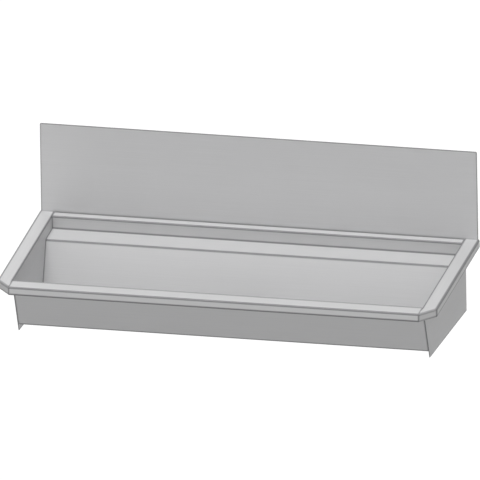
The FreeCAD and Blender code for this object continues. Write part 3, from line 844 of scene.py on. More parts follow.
def end_rim(size, steps_back, front_top):
    """Side rim of the right-hand end panel. Its outer edge carries the lip round the cut-off corner. Its
    inner edge is a small round and a flat strip, which narrow to nothing at the seam in front of the
    plate."""
    sheet, top, round_in = size.sheet, RIM_TOP, size.seam_round
    bend = size.bend_inside + sheet
    on_plate = len(steps_back)
    cut_line = 0.7

    # Lip: rim, fascia and return, as (distance inward, height).
    lip_foot = top - size.lip_height
    near_lip, far_lip, lip_lines = folded_profile(
        [(bend + 2 * FOLD_MARGIN, top), (0, top), (0, lip_foot), (size.lip_return, lip_foot)],
        sheet, size.bend_inside)
    near_outer, far_outer = (np.dstack([plan, np.broadcast_to(lip[:, 1], plan.shape[:2])])
                             for lip in (near_lip, far_lip)
                             for plan in [end_rim_grid(size, lip[:, 0], steps_back)])
    stations = len(near_outer)

    front_share = np.zeros(stations)
    front_share[on_plate - 1:] = np.linspace(0, 1, stations - on_plate + 1)
    narrow = 1 - front_share[:, None]
    along = front_top + (near_outer[-1, 0, 1] - front_top) * front_share
    along[:on_plate] = steps_back
    quarter = np.linspace(0, RIGHT_ANGLE, 4)
    strip = [round_in + RIM_EDGE, round_in + RIM_EDGE + FOLD_MARGIN]
    across = np.concatenate([round_in * (1 - np.cos(quarter)), strip])
    far_across = np.concatenate([np.full(len(quarter), sheet), strip])
    drop = np.concatenate([round_in * (1 - np.sin(quarter)), [0, 0]]) * narrow
    lean = np.where(np.arange(stations) < on_plate, along / front_top * math.tan(size.front_slope), 0)
    y_inner = along[:, None] + lean[:, None] * drop
    near = np.hstack([stacked(HALF_BOWL + across * narrow, y_inner, top - drop), near_outer])
    far = np.hstack([stacked(HALF_BOWL + far_across * narrow, y_inner, top - sheet), far_outer])

    # Painted fold shade: round and lip along the rim, every fold on the corner's arc, and both ends.
    columns_in = len(across)
    weight = np.tile(np.concatenate([np.ones(columns_in - 1), [0], lip_lines]), (stations, 1))
    arc = slice(on_plate - 1, on_plate + ARC_STEPS + 1)
    weight[arc.stop:, columns_in:] *= cut_line
    beside_bend = fade(np.maximum(near_lip[:, 0], 0), bend)
    weight[arc, columns_in:] = np.maximum(weight[arc, columns_in:], beside_bend)
    weight[[0, -1]] = 1
    return near, far, weight


def end_panel_patches(size):
    """Right-hand end panel: the side rim with its lip, the flat plate down from the rim's inner edge, and
    the flange turned inward at the wall. The front edge of the plate lies on the outer skin of the front
    wall, and its foot runs with the floor's fall."""
    sheet = size.sheet
    slope, fall = math.tan(size.front_slope), math.tan(size.floor_fall)
    front_top = FRONT + size.front_rim - sheet / math.cos(size.front_slope)
    foot_at_wall = panel_low.z
    tip_z = (foot_at_wall - fall * (front_top + slope * RIM_TOP)) / (1 - fall * slope)
    tip_y = front_top + slope * (RIM_TOP - tip_z)
    steps_back = np.array([0, -EDGE_MARGIN, front_top / 2, front_top + EDGE_MARGIN, front_top])
    rim = end_rim(size, steps_back, front_top)

    # Plate: straight lines from the round's lower edge to the foot.
    foot_y = steps_back / front_top * tip_y
    feet = stacked(HALF_BOWL, foot_y, foot_at_wall - fall * foot_y)
    margin = EDGE_MARGIN / (RIM_TOP - tip_z)
    near, far = rim[0][:len(steps_back), 0], rim[1][:len(steps_back), 0]
    near_plate = blended(near, feet, [0, margin, 0.5, 1 - margin, 1])
    far_plate = near_plate.copy()
    far_plate[..., 0] = HALF_BOWL + sheet
    far_plate[0] = far
    plate_weight = np.zeros(near_plate.shape[:2])
    plate_weight[[0, -1]] = 1
    plate_weight[:, -1] = 1

    # Wall flange, flat against the wall, from the lower rail up to below the ledge.
    flange_below_rim = 36 * MM
    flange = upright([panel_low.x, HALF_BOWL], -sheet, [rail_high.z + sheet, RIM_TOP - flange_below_rim])
    return [rim, (near_plate, far_plate, plate_weight), (flange, flange + np.array([0, sheet, 0]), 0.0)]


def mirrored(patches):
    """Patches of the other side: the sign of X is changed."""
    flip = np.array([-1.0, 1.0, 1.0])
    return [(near * flip, far * flip, weight) for near, far, weight in patches]


# ---- Splashback ----

def splash_patches():
    """Flat panel with rounded top corners, where the half width falls along a circle, and its skirt."""
    corner, foot_line = 3 * MM, 0.25
    top, half, front = splash_high.z, splash_high.x, splash_low.y
    quarter = np.linspace(0, RIGHT_ANGLE, 6)[1:]
    heights = np.concatenate([[RIM_TOP, RIM_TOP + EDGE_MARGIN, (RIM_TOP + top) / 2, top - corner],
                              top - corner + corner * np.sin(quarter)])
    halves = np.full(len(heights), half)
    halves[-len(quarter):] -= corner * (1 - np.cos(quarter))
    columns = stacked(-halves, -halves + EDGE_MARGIN, -seal_high.x,
                      seal_high.x, halves - EDGE_MARGIN, halves)
    near = stacked(columns, front, heights[:, None])
    beside = np.minimum(half - np.abs(near[..., 0]), top - near[..., 2])
    # Painted shade along the free edges and, lighter, along the foot where the panel meets the rim.
    weight = np.maximum(fade(np.maximum(beside, 0), EDGE_MARGIN),
                        foot_line * fade(near[..., 2] - RIM_TOP, EDGE_MARGIN))
    skirt = upright([-seal_high.x, seal_high.x], front, [splash_low.z, RIM_TOP])
    depth = np.array([0, -front, 0])
    return [(near, near + depth, weight), (skirt, skirt + depth, 0.0)]


# ---- Brackets and rail ----

def slotted_patches(corners, sheet, inside, ends, slot_places, slot_z, run, margins=None):
    """A folded strip whose upright leg on the wall, the given run of its section, has round-ended slots."""
    steps = 8
    half_wide, half_high = 15 * MM, 8.5 * MM
    slot_straight, slot_radius = 12 * MM, 4 * MM
    rows = np.linspace(slot_z - half_high, slot_z + half_high, steps + 1)
    stops = stacked(corners[run][0], rows)
    profile = folded_profile(corners, sheet, inside, {run: stops}, margins)
    first = row_of(profile[0], stops[0])
    border = rectangle_loop(np.linspace(-half_wide, half_wide, 2 * steps + 1), rows - slot_z)
    plan = blended(on_slot(border, slot_straight, slot_radius), border, [0, 0.12, 0.45, 1])
    openings = []
    for place in slot_places:
        skins = [stacked(plan[..., 0] + place, skin[first, 0], plan[..., 1] + slot_z)
                 for skin in profile[:2]]
        columns = np.linspace(place - half_wide, place + half_wide, 2 * steps + 1)
        openings.append((columns, (*skins, SLOT_LINES)))
    return opened_sheet(profile, ends, openings, first, first + steps)


def mirrored_ends(side, low, high):
    """The two ends along X of a piece on one side, from the right-hand one's box."""
    return sorted((side * low.x, side * high.x))


def hook_patches(size, side):
    """Inverted hook: a short leg towards the wall, the web under the ledge, and a longer leg on the drop
    wall."""
    sheet, short_leg = 2 * MM, 17 * MM
    back, front, top = hook_high.y, hook_low.y, hook_high.z
    corners = [(back, top - short_leg), (back, top), (front, top), (front, hook_low.z)]
    profile = folded_profile(corners, sheet, size.bend_inside)
    return opened_sheet(profile, mirrored_ends(side, hook_low, hook_high))


def wall_bracket_patches(size, side):
    """Z bracket: a slotted leg on the wall, the web, and the lip that the hook drops over."""
    sheet, web_below_rim, slot_from_middle = 2.5 * MM, 32 * MM, 90 * MM
    web = RIM_TOP - web_below_rim
    lip = bracket_low.y + sheet
    corners = [(0.0, bracket_low.z), (0.0, web), (lip, web), (lip, bracket_high.z)]
    middle = side * (bracket_low.x + bracket_high.x) / 2
    return slotted_patches(corners, sheet, size.bend_inside, mirrored_ends(side, bracket_low, bracket_high),
                           (middle - slot_from_middle, middle + slot_from_middle), 0.0, 0, BRACKET_MARGINS)


def rail_patches(size):
    """Angle between the end panels: a leg under the bowl and a slotted leg on the wall."""
    sheet, slot_from_middle, slot_below_top = 2 * MM, 330 * MM, 16 * MM
    corners = [(rail_low.y, rail_low.z), (0.0, rail_low.z), (0.0, rail_high.z)]
    return slotted_patches(corners, sheet, size.bend_inside, (rail_low.x, rail_high.x),
                           (-slot_from_middle, slot_from_middle), rail_high.z - slot_below_top, 1)


# ---- Welds ----

def swept_corner(path, side_a, side_b, a, b):
    """Closed section carried along a path: it starts and ends on the path, and its points lie out along two
    sides of the path by the lengths a and b."""
    a, b = (np.pad(lengths, ((0, 0), (1, 1)))[..., None] for lengths in (a, b))
    side_a, side_b = (np.broadcast_to(side, path.shape)[:, None] for side in (side_a, side_b))
    return path[:, None] + a * side_a + b * side_b


def weld_bead(start, end, side_a, side_b, leg):
    """Closed fillet along a straight line, six rings to a ripple: its section is the corner, a point out
    along each side, and an arc bulging between them. The leg swells with each ripple as the size of a sine
    of the length run, and shrinks to nothing at both ends as a root."""
    ripple, swell, bulge = 1.6 * MM, 0.12, 0.45
    start, end = np.asarray(start, float), np.asarray(end, float)
    total = np.linalg.norm(end - start)
    share = np.linspace(0, 1, max(4, int(total / ripple * 6)) + 1)
    run = total * share
    taper = np.sqrt(np.clip(np.minimum(run, total - run) / (2 * leg), 0, 1))
    size = (leg * taper * (1 + swell * np.abs(np.sin(math.pi * run / ripple))))[:, None]
    turn = np.linspace(0, RIGHT_ANGLE, 5)
    a = np.cos(turn) * bulge + (1 - turn / RIGHT_ANGLE) * (1 - bulge)
    b = np.sin(turn) * bulge + turn / RIGHT_ANGLE * (1 - bulge)
    return swept_corner(start + (end - start) * share[:, None], side_a, side_b, size * a, size * b)


def underside_beads(size):
    """Short stitches that hold the brackets and the rail, and the trough to the end panels from outside."""
    hook_leg, panel_leg = 1.6 * MM, 1.8 * MM
    stitch, first_in, last_in = 25 * MM, 12 * MM, 37 * MM
    in_corner, off_front, off_wall, off_foot = 2 * MM, 3 * MM, 4 * MM, 5 * MM
    behind_drop = -size.ledge_depth + size.sheet
    foot, head = trough_corners(size)[FLOOR_RUN:FLOOR_RUN + 2]
    run = head - foot
    down = unit(np.array([-run[1], run[0]]))
    beads = []
    for _, side in SIDES:
        for place in np.linspace(hook_low.x + first_in, hook_high.x - last_in, 4):
            ends = [(side * x, behind_drop, hook_low.z) for x in (place, place + stitch)]
            beads.append(weld_bead(*ends, (0, 0, -1), (0, 1, 0), hook_leg))
        inner, inward = side * HALF_BOWL, (-side, 0, 0)
        along_leg = [(inner, y, rail_low.z + in_corner) for y in (rail_low.y + off_front, -off_wall)]
        up_leg = [(inner, -in_corner, z) for z in (rail_low.z + off_foot, rail_high.z - in_corner)]
        beads.append(weld_bead(*along_leg, inward, (0, 0, 1), panel_leg))
        beads.append(weld_bead(*up_leg, inward, (0, -1, 0), panel_leg))
        for shares in ((0.06, 0.2), (0.43, 0.57), (0.8, 0.94)):     # of the floor's run
            ends = [(inner, *(foot + run * share + down * size.sheet)) for share in shares]
            beads.append(weld_bead(*ends, inward, (0, *down), panel_leg))
    return beads


def bowl_coves(size):
    """Ground welds in the bowl's two ends: a concave fillet that follows the trough's upper skin."""
    leg, slack = 1.0 * MM, 0.1 * MM
    near, far, _ = folded_profile(trough_corners(size), size.sheet, size.bend_inside)
    in_bowl = (near[:, 0] < -size.ledge_depth + slack) & (near[:, 0] > FRONT + size.front_rim - slack)
    near, normal = near[in_bowl], unit(near - far)[in_bowl]
    turn = np.linspace(0, RIGHT_ANGLE, 5)
    cove = leg * (1 - np.sin(turn))[None], leg * (1 - np.cos(turn))[None]
    up = stacked(0.0, normal[:, 0], normal[:, 1])
    coves = []
    for _, side in SIDES:
        path = stacked(side * HALF_BOWL, near[:, 0], near[:, 1])
        body = swept_corner(path, up, (-side, 0, 0), *cove)
        ends = body * 0 + path[:, None]
        coves.append(np.concatenate([ends[:1], body, ends[-1:]]))
    return coves


# ---- Damping pads ----

def pad_grid(size, side):
    """Pad under the floor: loops of a rounded rectangle, from the middle of its top out over the edge to
    the middle of its foot, laid square to the floor's fall. The rectangle's corners are quarter circles."""
    half, corner, steps = np.array([150, 75]) * MM, 10 * MM, 7
    turn = (np.arange(4)[:, None] * RIGHT_ANGLE + np.linspace(0, RIGHT_ANGLE, steps)).ravel()
    signs = np.repeat([(1, 1), (-1, 1), (-1, -1), (1, -1)], steps, axis=0)
    loop = polar(corner, turn) + signs * (half - corner)
    loop = np.concatenate([loop, loop[:1]])
    # Distance in from the edge, depth below the top, and share of the loop's size.
    edge, drop, scale = np.array([
        (0, 0, 0), (0.8, 0, 1), (0.2, 0.2, 1), (0, 0.8, 1),
        (0, 1.7, 1), (0.2, 2.3, 1), (0.8, 2.5, 1), (0, 2.5, 0),
    ]).T[..., None, None] * np.array([MM, MM, 1])[:, None, None, None]
    across, along = np.moveaxis(loop * (1 - edge / half) * scale, -1, 0)
    down = size.sheet + drop[..., 0]
    cos, sin = math.cos(size.floor_fall), math.sin(size.floor_fall)
    foot, head = trough_corners(size)[FLOOR_RUN:FLOOR_RUN + 2]
    middle = (foot + head) / 2
    return stacked(side * (pad_low.x + pad_high.x) / 2 + across,
                   middle[0] + along * cos - down * sin, middle[1] - along * sin - down * cos)


# ---- Waste ----

def ring_grid(inner, outer, low, high, edge, steps=96):
    """Flat ring about the Z axis with softened edges."""
    loop = rounded_rectangle(inner, outer, low, high, edge)
    return turned(loop[:, 0], loop[:, 1], round_steps(steps))


def waste_body_grids(waste):
    """Flange, threaded barrel and plain end in one turned surface, and the two bars across the outlet."""
    steps, thread_rows, thread_depth, run_out_length = 120, 72, 1.1 * MM, 1.5 * MM
    barrel, spigot, throat = waste.barrel_radius, waste.spigot_radius, waste.throat_radius
    outlet, seat = waste.outlet_radius, waste.seat_radius
    foot, under = waste_low.z, gasket_high.z
    crown, seat_z = under + 3.2 * MM, under + 1.5 * MM
    shoulder, spigot_top = RECESS_Z - 26 * MM, RECESS_Z - 16 * MM
    flange = waste_high.x
    section = np.array([       # radius, height, and how far the corner is rounded
        (spigot, foot, 0.7 * MM), (spigot, spigot_top, 0.05 * MM), (barrel, spigot_top, 0.1 * MM),
        (barrel, under, 0.2 * MM), (flange, under, 0.3 * MM), (flange, under + 1.1 * MM, 0.5 * MM),
        (seat + 3.4 * MM, crown, 1.6 * MM), (seat + 0.2 * MM, crown, 0.4 * MM), (seat, seat_z, 0.2 * MM),
        (throat, seat_z, 0.6 * MM), (throat, shoulder, 0.2 * MM), (outlet, shoulder, 0.3 * MM),
        (outlet, foot, 0.4 * MM)])
    loop = rounded_loop(section[:, :2], section[:, 2])
    # The thread's rows go between the two rows that bound the straight barrel.
    on_barrel = np.isclose(loop[:-1, 0], barrel, atol=0.02 * MM) & (loop[:-1, 1] < (spigot_top + under) / 2)
    before = np.flatnonzero(on_barrel).max() + 1
    rows = np.linspace(loop[before - 1, 1], loop[before, 1], thread_rows + 2)[1:-1]
    run_out = np.minimum(rows - rows[0], rows[-1] - rows) / run_out_length
    radius, height = np.insert(loop, [before] * thread_rows, stacked(barrel, rows), axis=0).T
    depth = np.insert(np.zeros(len(loop)), [before] * thread_rows, thread_depth * np.clip(run_out, 0, 1))
    turn = round_steps(steps)
    wave = helix_wave(height, turn, waste.thread_pitch)
    body = turned(radius[:, None] - depth[:, None] * wave, height, turn)
    half_wide, high = 1.5 * MM, 3 * MM
    section = rounded_rectangle(-half_wide, half_wide, shoulder - high, shoulder, 0.5 * MM)
    reach = (outlet + spigot) / 2
    cross = bar(section, [-reach, reach])
    other = stacked(-cross[..., 1], cross[..., 0], cross[..., 2])
    return [at_drain(grid) for grid in (body, cross, other)]


def locknut_grid():
    """Round backnut with six lugs: the radius rises by the lugs' reach on a smooth step either side of
    each."""
    steps = 240
    bore, body, half_lug, rise = 24.2 * MM, 30 * MM, 5 * MM, 1 * MM
    low, high = locknut_low.z, locknut_high.z
    reach = locknut_high.x - body
    share = np.clip((half_lug - np.abs(off_sixth(steps)) * (body + reach / 2)) / rise, 0, 1)
    lug = reach * share * share * (3 - 2 * share)
    rows = np.array([          # radius, height, and share of the lugs
        (bore, low + 0.6 * MM, 0), (bore + 0.6 * MM, low, 0),
        (body - 1 * MM, low, 0), (body, low + 1 * MM, 0),
        (body, low + 1.01 * MM, 0.9), (body, low + 1.4 * MM, 1), (body, high - 1.4 * MM, 1),
        (body, high - 1.01 * MM, 0.9), (body, high - 1 * MM, 0), (body, high - 0.2 * MM, 0),
        (body - 0.2 * MM, high, 0), (bore + 0.3 * MM, high, 0), (bore, high - 0.3 * MM, 0),
        (bore, low + 0.6 * MM, 0)])
    return at_drain(turned(rows[:, :1] + rows[:, 2:] * lug, rows[:, 1], round_steps(steps)))


def nut_grid(flats, bore, low, high, steps=96):
    """Hexagon nut: its outside is the smaller of the hexagon and a chamfer cone at each end. The hexagon's
    radius is half the flats over the cosine of the angle from the nearest side's middle."""
    chamfer, face, soft = 0.12 * flats, 0.47 * flats, 0.2 * MM
    end = np.array([           # radius and height above one end
        (bore, soft), (bore + soft, 0), (face, 0), (face + 0.6 * chamfer, 0.35 * chamfer),
        (face + 1.6 * chamfer, chamfer)])
    rows = np.concatenate([end + (0, low), (end * (1, -1) + (0, high))[::-1], end[:1] + (0, low)])
    hexagon = flats / 2 / np.cos(off_sixth(steps))
    return turned(np.minimum(rows[:, :1], hexagon), rows[:, 1], round_steps(steps))


def stud_grid(radius, low, high, pitch, steps=24):
    """Threaded stud: the V thread's depth runs out at both ends."""
    turn, chamfer, rows_to_pitch, thread_depth = round_steps(steps), 0.3 * MM, 5, 0.55 * pitch
    rows = np.linspace(low + chamfer, high, int((high - low) / pitch * rows_to_pitch))
    depth = thread_depth * np.clip(np.minimum(rows - rows[0], rows[-1] - rows) / pitch, 0, 1)
    threaded = radius - helix_wave(rows, turn, pitch) * depth[:, None]
    foot, head = (np.array(radii)[:, None] + 0 * turn for radii in ((0, radius - chamfer), (radius, 0)))
    height = np.concatenate([[low, low], rows, [high, high]])
    return turned(np.concatenate([foot, threaded, head]), height, turn)


# ---- Strainer ----

def basket_patches(waste):
    """Perforated cup: its section turned about the drain, with a slotted band in its wall and two rings of
    holes in its bottom. Each opening fills its own sector between two rows of the section."""
    total = 168
    sheet, bend, bore, gap = waste.basket_sheet, 0.6 * MM, 2.3 * MM, 0.9 * MM
    rim, top, low = basket_high.x, basket_high.z, basket_low.z
    floor = low + sheet
    wall = waste.throat_radius - gap - sheet
    middle, half_band = (top - sheet + low) / 2, 5.2 * MM
    slot_rows = np.linspace(middle + half_band, middle - half_band, 13)
    ring_edges = np.array([17.6, 11.6, 5.4]) * MM
    floor_rows = np.concatenate([np.linspace(*ring_edges[:2], 9), np.linspace(*ring_edges[1:], 9)[1:]])
    near, far, lines = folded_profile(
        [(rim, top), (wall, top), (wall, floor), (bore, floor)], sheet, bend,
        {1: stacked(wall, slot_rows), 2: stacked(floor_rows, floor)}, STRAINER_MARGINS)
    slot_first, slot_last = (row_of(near, (wall, row)) for row in slot_rows[[0, -1]])
    outer_first, ring_change, inner_last = (row_of(near, (edge, floor)) for edge in ring_edges)
    turn = round_steps(total)
    # Painted shade along the cup's folds and openings, by the fold line weight.
    line_strength = 0.5
    patches = []
    for rows in (slice(0, slot_first + 1), slice(slot_last, outer_first + 1), slice(inner_last, None)):
        skins = [turned(skin[rows, 0], skin[rows, 1], turn) for skin in (near, far)]
        patches.append((*skins, lines[rows, None] * line_strength))

    def sectors(count):
        """Angles of each of so many equal parts of the turn."""
        return [turn[sector * total // count:(sector + 1) * total // count + 1] for sector in range(count)]

    slots, slot_straight, slot_radius = 12, 3.8 * MM, 1.6 * MM
    for angles in sectors(slots):
        border = rectangle_loop((angles - angles.mean()) * wall, near[slot_first:slot_last + 1, 1] - middle)
        hole = on_slot(border[:, ::-1], slot_straight, slot_radius)[:, ::-1]
        flat = blended(hole, border, [0, 0.15, 0.5, 1])
        spin, height = flat[..., 0] / wall + angles.mean(), flat[..., 1] + middle
        skins = [polar(skin[slot_first, 0], spin, height) for skin in (near, far)]
        patches.append((*skins, HOLE_LINES))

    hole_radius = 1.8 * MM
    for holes, ring, first, last in ((14, 14.5 * MM, outer_first, ring_change),
                                     (8, 8.5 * MM, ring_change, inner_last)):
        for angles in sectors(holes):
            spin, radius = rectangle_loop(angles, near[first:last + 1, 0]).T
            centre = polar(ring, angles.mean())
            border = polar(radius, spin) - centre
            plan = centre + blended(on_slot(border, 0, hole_radius), border, [0, 0.2, 0.6, 1])
            skins = [stacked(plan[..., 0], plan[..., 1], height) for height in (floor, low)]
            patches.append((*skins, HOLE_LINES))
    return [(at_drain(inside), at_drain(outside), weight) for inside, outside, weight in patches]


def knob_grid(waste):
    """Pull knob, post and stud turned in one, with shallow flutes round the knob's widest band: there the
    radius falls by the square of a cosine of the angle."""
    bottom, top = knob_low.z, knob_high.z
    under, floor = top - 7 * MM, basket_low.z + waste.basket_sheet
    post, stud, knob = 3 * MM, 2 * MM, knob_high.x
    section = np.array([       # radius, height, and how far the corner is rounded
        (0, bottom, 0), (stud, bottom, 0.3 * MM), (stud, floor, 0.1 * MM), (post, floor, 0.2 * MM),
        (post, under, 0.8 * MM), (knob - 2 * MM, under, 0.4 * MM), (knob, under + 1.3 * MM, 0.5 * MM),
        (knob, under + 4.2 * MM, 1.2 * MM), (knob - 2.4 * MM, top, 1.6 * MM), (0, top, 0)])
    loop = rounded_loop(section[:, :2], section[:, 2])
    rows = loop[(loop[:, 0] > 0) | (loop[:, 1] > bottom) | (np.arange(len(loop)) == 0)][:-1]
    turn = round_steps(144)
    flutes, flute_depth = 18, 0.25 * MM
    band = fade(rows[:, 1] - (under + 2.75 * MM), 1.9 * MM) * (rows[:, 0] > post + 2 * MM)
    flute = flute_depth * np.cos(flutes * turn) ** 2
    return at_drain(turned(rows[:, :1] - band[:, None] * flute, rows[:, 1], turn))


# ---- Operators ----

class SINK_OT_trough(Operator):
    """Fold the trough, with the pressed recess in its floor"""
    bl_idname = "sink.trough"
    bl_label = "Trough"

    def execute(self, context):
        patches = trough_patches(context.scene.sink_sizes, context.scene.sink_waste)
        piece = sheet_piece("trough_sheet", patches)
        finish_piece(piece, "satin_steel_along", "brushed_sheet", "sink", "trough_shell")
        return {"FINISHED"}


class SINK_OT_end_panels(Operator):
    """Make both end panels with their side rims"""
    bl_idname = "sink.end_panels"
    bl_label = "End panels"

    def execute(self, context):
        patches = end_panel_patches(context.scene.sink_sizes)
        for name, node, shape in (("right_end_sheet", "right_end_panel", patches),
                                  ("left_end_sheet", "left_end_panel", mirrored(patches))):
            finish_piece(sheet_piece(name, shape), "satin_steel_across", "brushed_sheet", "sink", node)
        return {"FINISHED"}


class SINK_OT_splashback(Operator):
    """Make the splashback, its seal and its four fixings"""
    bl_idname = "sink.splashback"
    bl_label = "Splashback"

    def execute(self, context):
        panel = sheet_piece("splash_sheet", splash_patches())
        # The splashback takes the paler copy of the steel, painted light on its upright face.
        finish_piece(panel, "satin_steel_splash_painted_light", "splash_sheet", "sink", "splashback")
        section = rounded_rectangle(seal_low.y, seal_high.y, seal_low.z, seal_high.z, edge=0.3 * MM)
        seal = solid_piece("seal_strip", [bar(section, [seal_low.x, seal_high.x])])
        finish_piece(seal, "black_rubber", "seal_rubber", "sink", "splash_seal_strip")
        height = (stud_low.z + stud_high.z) / 2
        stud_radius = 2.5 * MM
        outer = stud_high.x - stud_radius
        inner = hook_low.x + hook_high.x - outer
        places = [(x, 0, height) for x in (-outer, -inner, inner, outer)]
        stud = stud_grid(stud_radius, -stud_high.y, -stud_low.y, pitch=0.8 * MM)
        washer = ring_grid(inner=2.8 * MM, outer=5.5 * MM, low=-washer_high.y, high=-washer_low.y,
                           edge=0.12 * MM, steps=48)
        nut = nut_grid(flats=8 * MM, bore=2.55 * MM, low=-nut_high.y, high=-nut_low.y)
        for name, node, grid in (
                ("stud_threads", "splash_studs", stud),
                ("stud_washers", "splash_washers", washer),
                ("stud_nuts", "splash_nuts", nut)):
            group = solid_piece(name, [facing_front(grid, place) for place in places])
            finish_piece(group, "fixing_steel", "stainless_fixings", "sink", node)
        return {"FINISHED"}


class SINK_OT_brackets(Operator):
    """Make the hooks, the wall brackets and the lower wall rail"""
    bl_idname = "sink.brackets"
    bl_label = "Brackets and rail"

    def execute(self, context):
        size = context.scene.sink_sizes
        pieces = [("wall_rail_strip", "lower_wall_rail", rail_patches(size))]
        for word, side in SIDES:
            pieces.append((word + "_hook_strip", word + "_hook_bracket", hook_patches(size, side)))
            pieces.append((word + "_wall_strip", word + "_wall_bracket", wall_bracket_patches(size, side)))
        for name, node, patches in pieces:
            finish_piece(sheet_piece(name, patches), "mill_steel", "bracket_steel", "sink", node)
        return {"FINISHED"}


class SINK_OT_welds(Operator):
    """Lay the ground welds in the bowl's ends and the stitches underneath"""
    bl_idname = "sink.welds"
    bl_label = "Welds"

    def execute(self, context):
        size = context.scene.sink_sizes
        # The coves carry the painted fold shade all over, which darkens the bowl's end corners.
        cove_line = 0.9
        coves = solid_piece("bowl_end_welds", bowl_coves(size), lines=cove_line)
        finish_piece(coves, "satin_steel_across", "brushed_sheet", "sink")
        stitches = solid_piece("stitch_welds", underside_beads(size))
        finish_piece(stitches, "weld_metal", "bracket_steel", "sink")
        return {"FINISHED"}


class SINK_OT_damping_pads(Operator):
    """Make the two damping pads under the floor"""
    bl_idname = "sink.damping_pads"
    bl_label = "Damping pads"

    def execute(self, context):
        for word, side in SIDES:
            pad = solid_piece(word + "_damping_sheet", [pad_grid(context.scene.sink_sizes, side)])
            finish_piece(pad, "damping_sheet", "damping_pad", "sink", word + "_sound_pad")
        return {"FINISHED"}


class SINK_OT_waste(Operator):
    """Turn the waste fitting with its gasket, washers and backnut"""
    bl_idname = "sink.waste"
    bl_label = "Waste fitting"

    def execute(self, context):
        waste = context.scene.sink_waste
        body = solid_piece("waste_body", waste_body_grids(waste), smooth_angle=32)
        finish_piece(body, "polished_steel", "polished_waste", "sink", "drain_body")
        gasket_bore, clearance = 26 * MM, 0.3 * MM
        bore = waste.barrel_radius + clearance
        rings = (
            ("flange_gasket", "drain_flange_gasket", "black_rubber", "seal_rubber",
             gasket_bore, gasket_low, gasket_high, 0.4 * MM),
            ("rubber_washer", "drain_rubber_washer", "black_rubber", "seal_rubber",
             bore, rubber_low, rubber_high, 0.7 * MM),
            ("fibre_washer", "drain_fibre_washer", "red_fibre", "fibre",
             bore, fibre_low, fibre_high, 0.15 * MM))
        for name, node, material, slot, inner, low, high, edge in rings:
            grid = at_drain(ring_grid(inner, high.x, low.z, high.z, edge))
            finish_piece(solid_piece(name, [grid]), material, slot, "sink", node)
        locknut = solid_piece("backnut", [locknut_grid()])
        finish_piece(locknut, "cast_brass", "brass_nut", "sink", "drain_locknut")
        return {"FINISHED"}


class SINK_OT_strainer(Operator):
    """Make the lift-out strainer: perforated cup, pull knob and nut"""
    bl_idname = "sink.strainer"
    bl_label = "Strainer"

    def execute(self, context):
        waste = context.scene.sink_waste
        cup = sheet_piece("strainer_cup", basket_patches(waste))
        finish_piece(cup, "polished_steel", "polished_waste", "strainer", "strainer_basket")
        knob = solid_piece("pull_knob", [knob_grid(waste)])
        finish_piece(knob, "polished_steel", "polished_waste", "strainer", "strainer_knob")
        nut = nut_grid(flats=7 * MM, bore=2.05 * MM, low=pull_nut_low.z, high=pull_nut_high.z)
        nut = solid_piece("pull_nut", [at_drain(nut)])
        finish_piece(nut, "fixing_steel", "stainless_fixings", "strainer", "strainer_nut")
        return {"FINISHED"}


class SINK_OT_stage(Operator):
    """Set up the floor, the soft light and the camera"""
    bl_idname = "sink.stage"
    bl_label = "Stage"

    def execute(self, context):
        stage = context.scene.sink_stage
        build_floor(context.scene, stage)
        build_lights(context.scene, stage)
        build_camera(context.scene, stage)
        context.scene.view_settings.view_transform = "Standard"
        return {"FINISHED"}


def build_floor(scene, stage):
    """A pale floor that is white to the camera, apart from the object's soft shadow, and clear from
    below."""
    half = 6.0
    height = RIM_TOP - stage.floor_drop
    corners = [(x * half, y * half, height) for x, y in ((-1, -1), (1, -1), (1, 1), (-1, 1))]
    mesh = bpy.data.meshes.new("studio_floor")
    mesh.from_pydata(corners, [], [(0, 1, 2, 3)])
    floor = bpy.data.objects.new("studio_floor", mesh)
    scene.collection.objects.link(floor)
    material = bpy.data.materials.new("studio_floor")
    tree = NodeTree(material)
    tree.nodes.clear()
    grain = tree.add("TexNoise", {"Scale": 40.0})
    bump = tree.add("Bump", {"Strength": 0.05, "Height": grain.outputs["Fac"]})
    tone = (*scene.sink_finishes.floor, 1)
    pale = tree.add("BsdfDiffuse", {"Color": tone, "Normal": bump.outputs["Normal"]})
    shadowed = tree.add("BsdfDiffuse", {"Color": (0.4, 0.4, 0.4, 1)})
    glow = tree.add("Emission", {"Strength": 0.64})
    white = tree.add("AddShader", {0: shadowed.outputs[0], 1: glow.outputs[0]})
    seen = tree.add("MixShader", {0: tree.seen_directly(), 1: pale.outputs[0], 2: white.outputs[0]})
    below = tree.add("NewGeometry").outputs["Backfacing"]
    clear = tree.add("BsdfTransparent")
    sided = tree.add("MixShader", {0: below, 1: seen.outputs[0], 2: clear.outputs[0]})
    tree.add("OutputMaterial", {"Surface": sided.outputs[0]})
    mesh.materials.append(material)


def build_lights(scene, stage):
    """A little light from all round, and wide suns from above, the front, the right and behind."""
    world = bpy.data.worlds.new("studio")
    scene.world = world
    tree = NodeTree(world)
    tree.nodes.clear()
    ambient, white = (tree.add("Background", {"Color": (1, 1, 1, 1), "Strength": strength}).outputs[0]
                      for strength in (stage.ambient, 1.0))
    sky = tree.add("MixShader", {0: tree.seen_directly(), 1: ambient, 2: white})
    tree.add("OutputWorld", {"Surface": sky.outputs[0]})
    lamps = (                  # name, direction to the lamp, strength, and its width in degrees
        ("top_light", (0.0, -0.25, 1.0), stage.top_light, 35),
        ("front_light", (0.0, -1.0, -0.02), stage.front_light, 50),
        ("right_light", (1.0, -0.2, 0.9), stage.right_light, 50),
        ("back_light", (0.0, 0.7, 1.0), stage.back_light, 50))
    for name, towards, strength, spread in lamps:
        light = bpy.data.lights.new(name, "SUN")
        light.energy = strength
        light.angle = math.radians(spread)
        lamp = bpy.data.objects.new(name, light)
        back = unit(np.array(towards))
        lamp.matrix_world = turned_to(back, 0.0, back * STAGE_DISTANCE)
        scene.collection.objects.link(lamp)


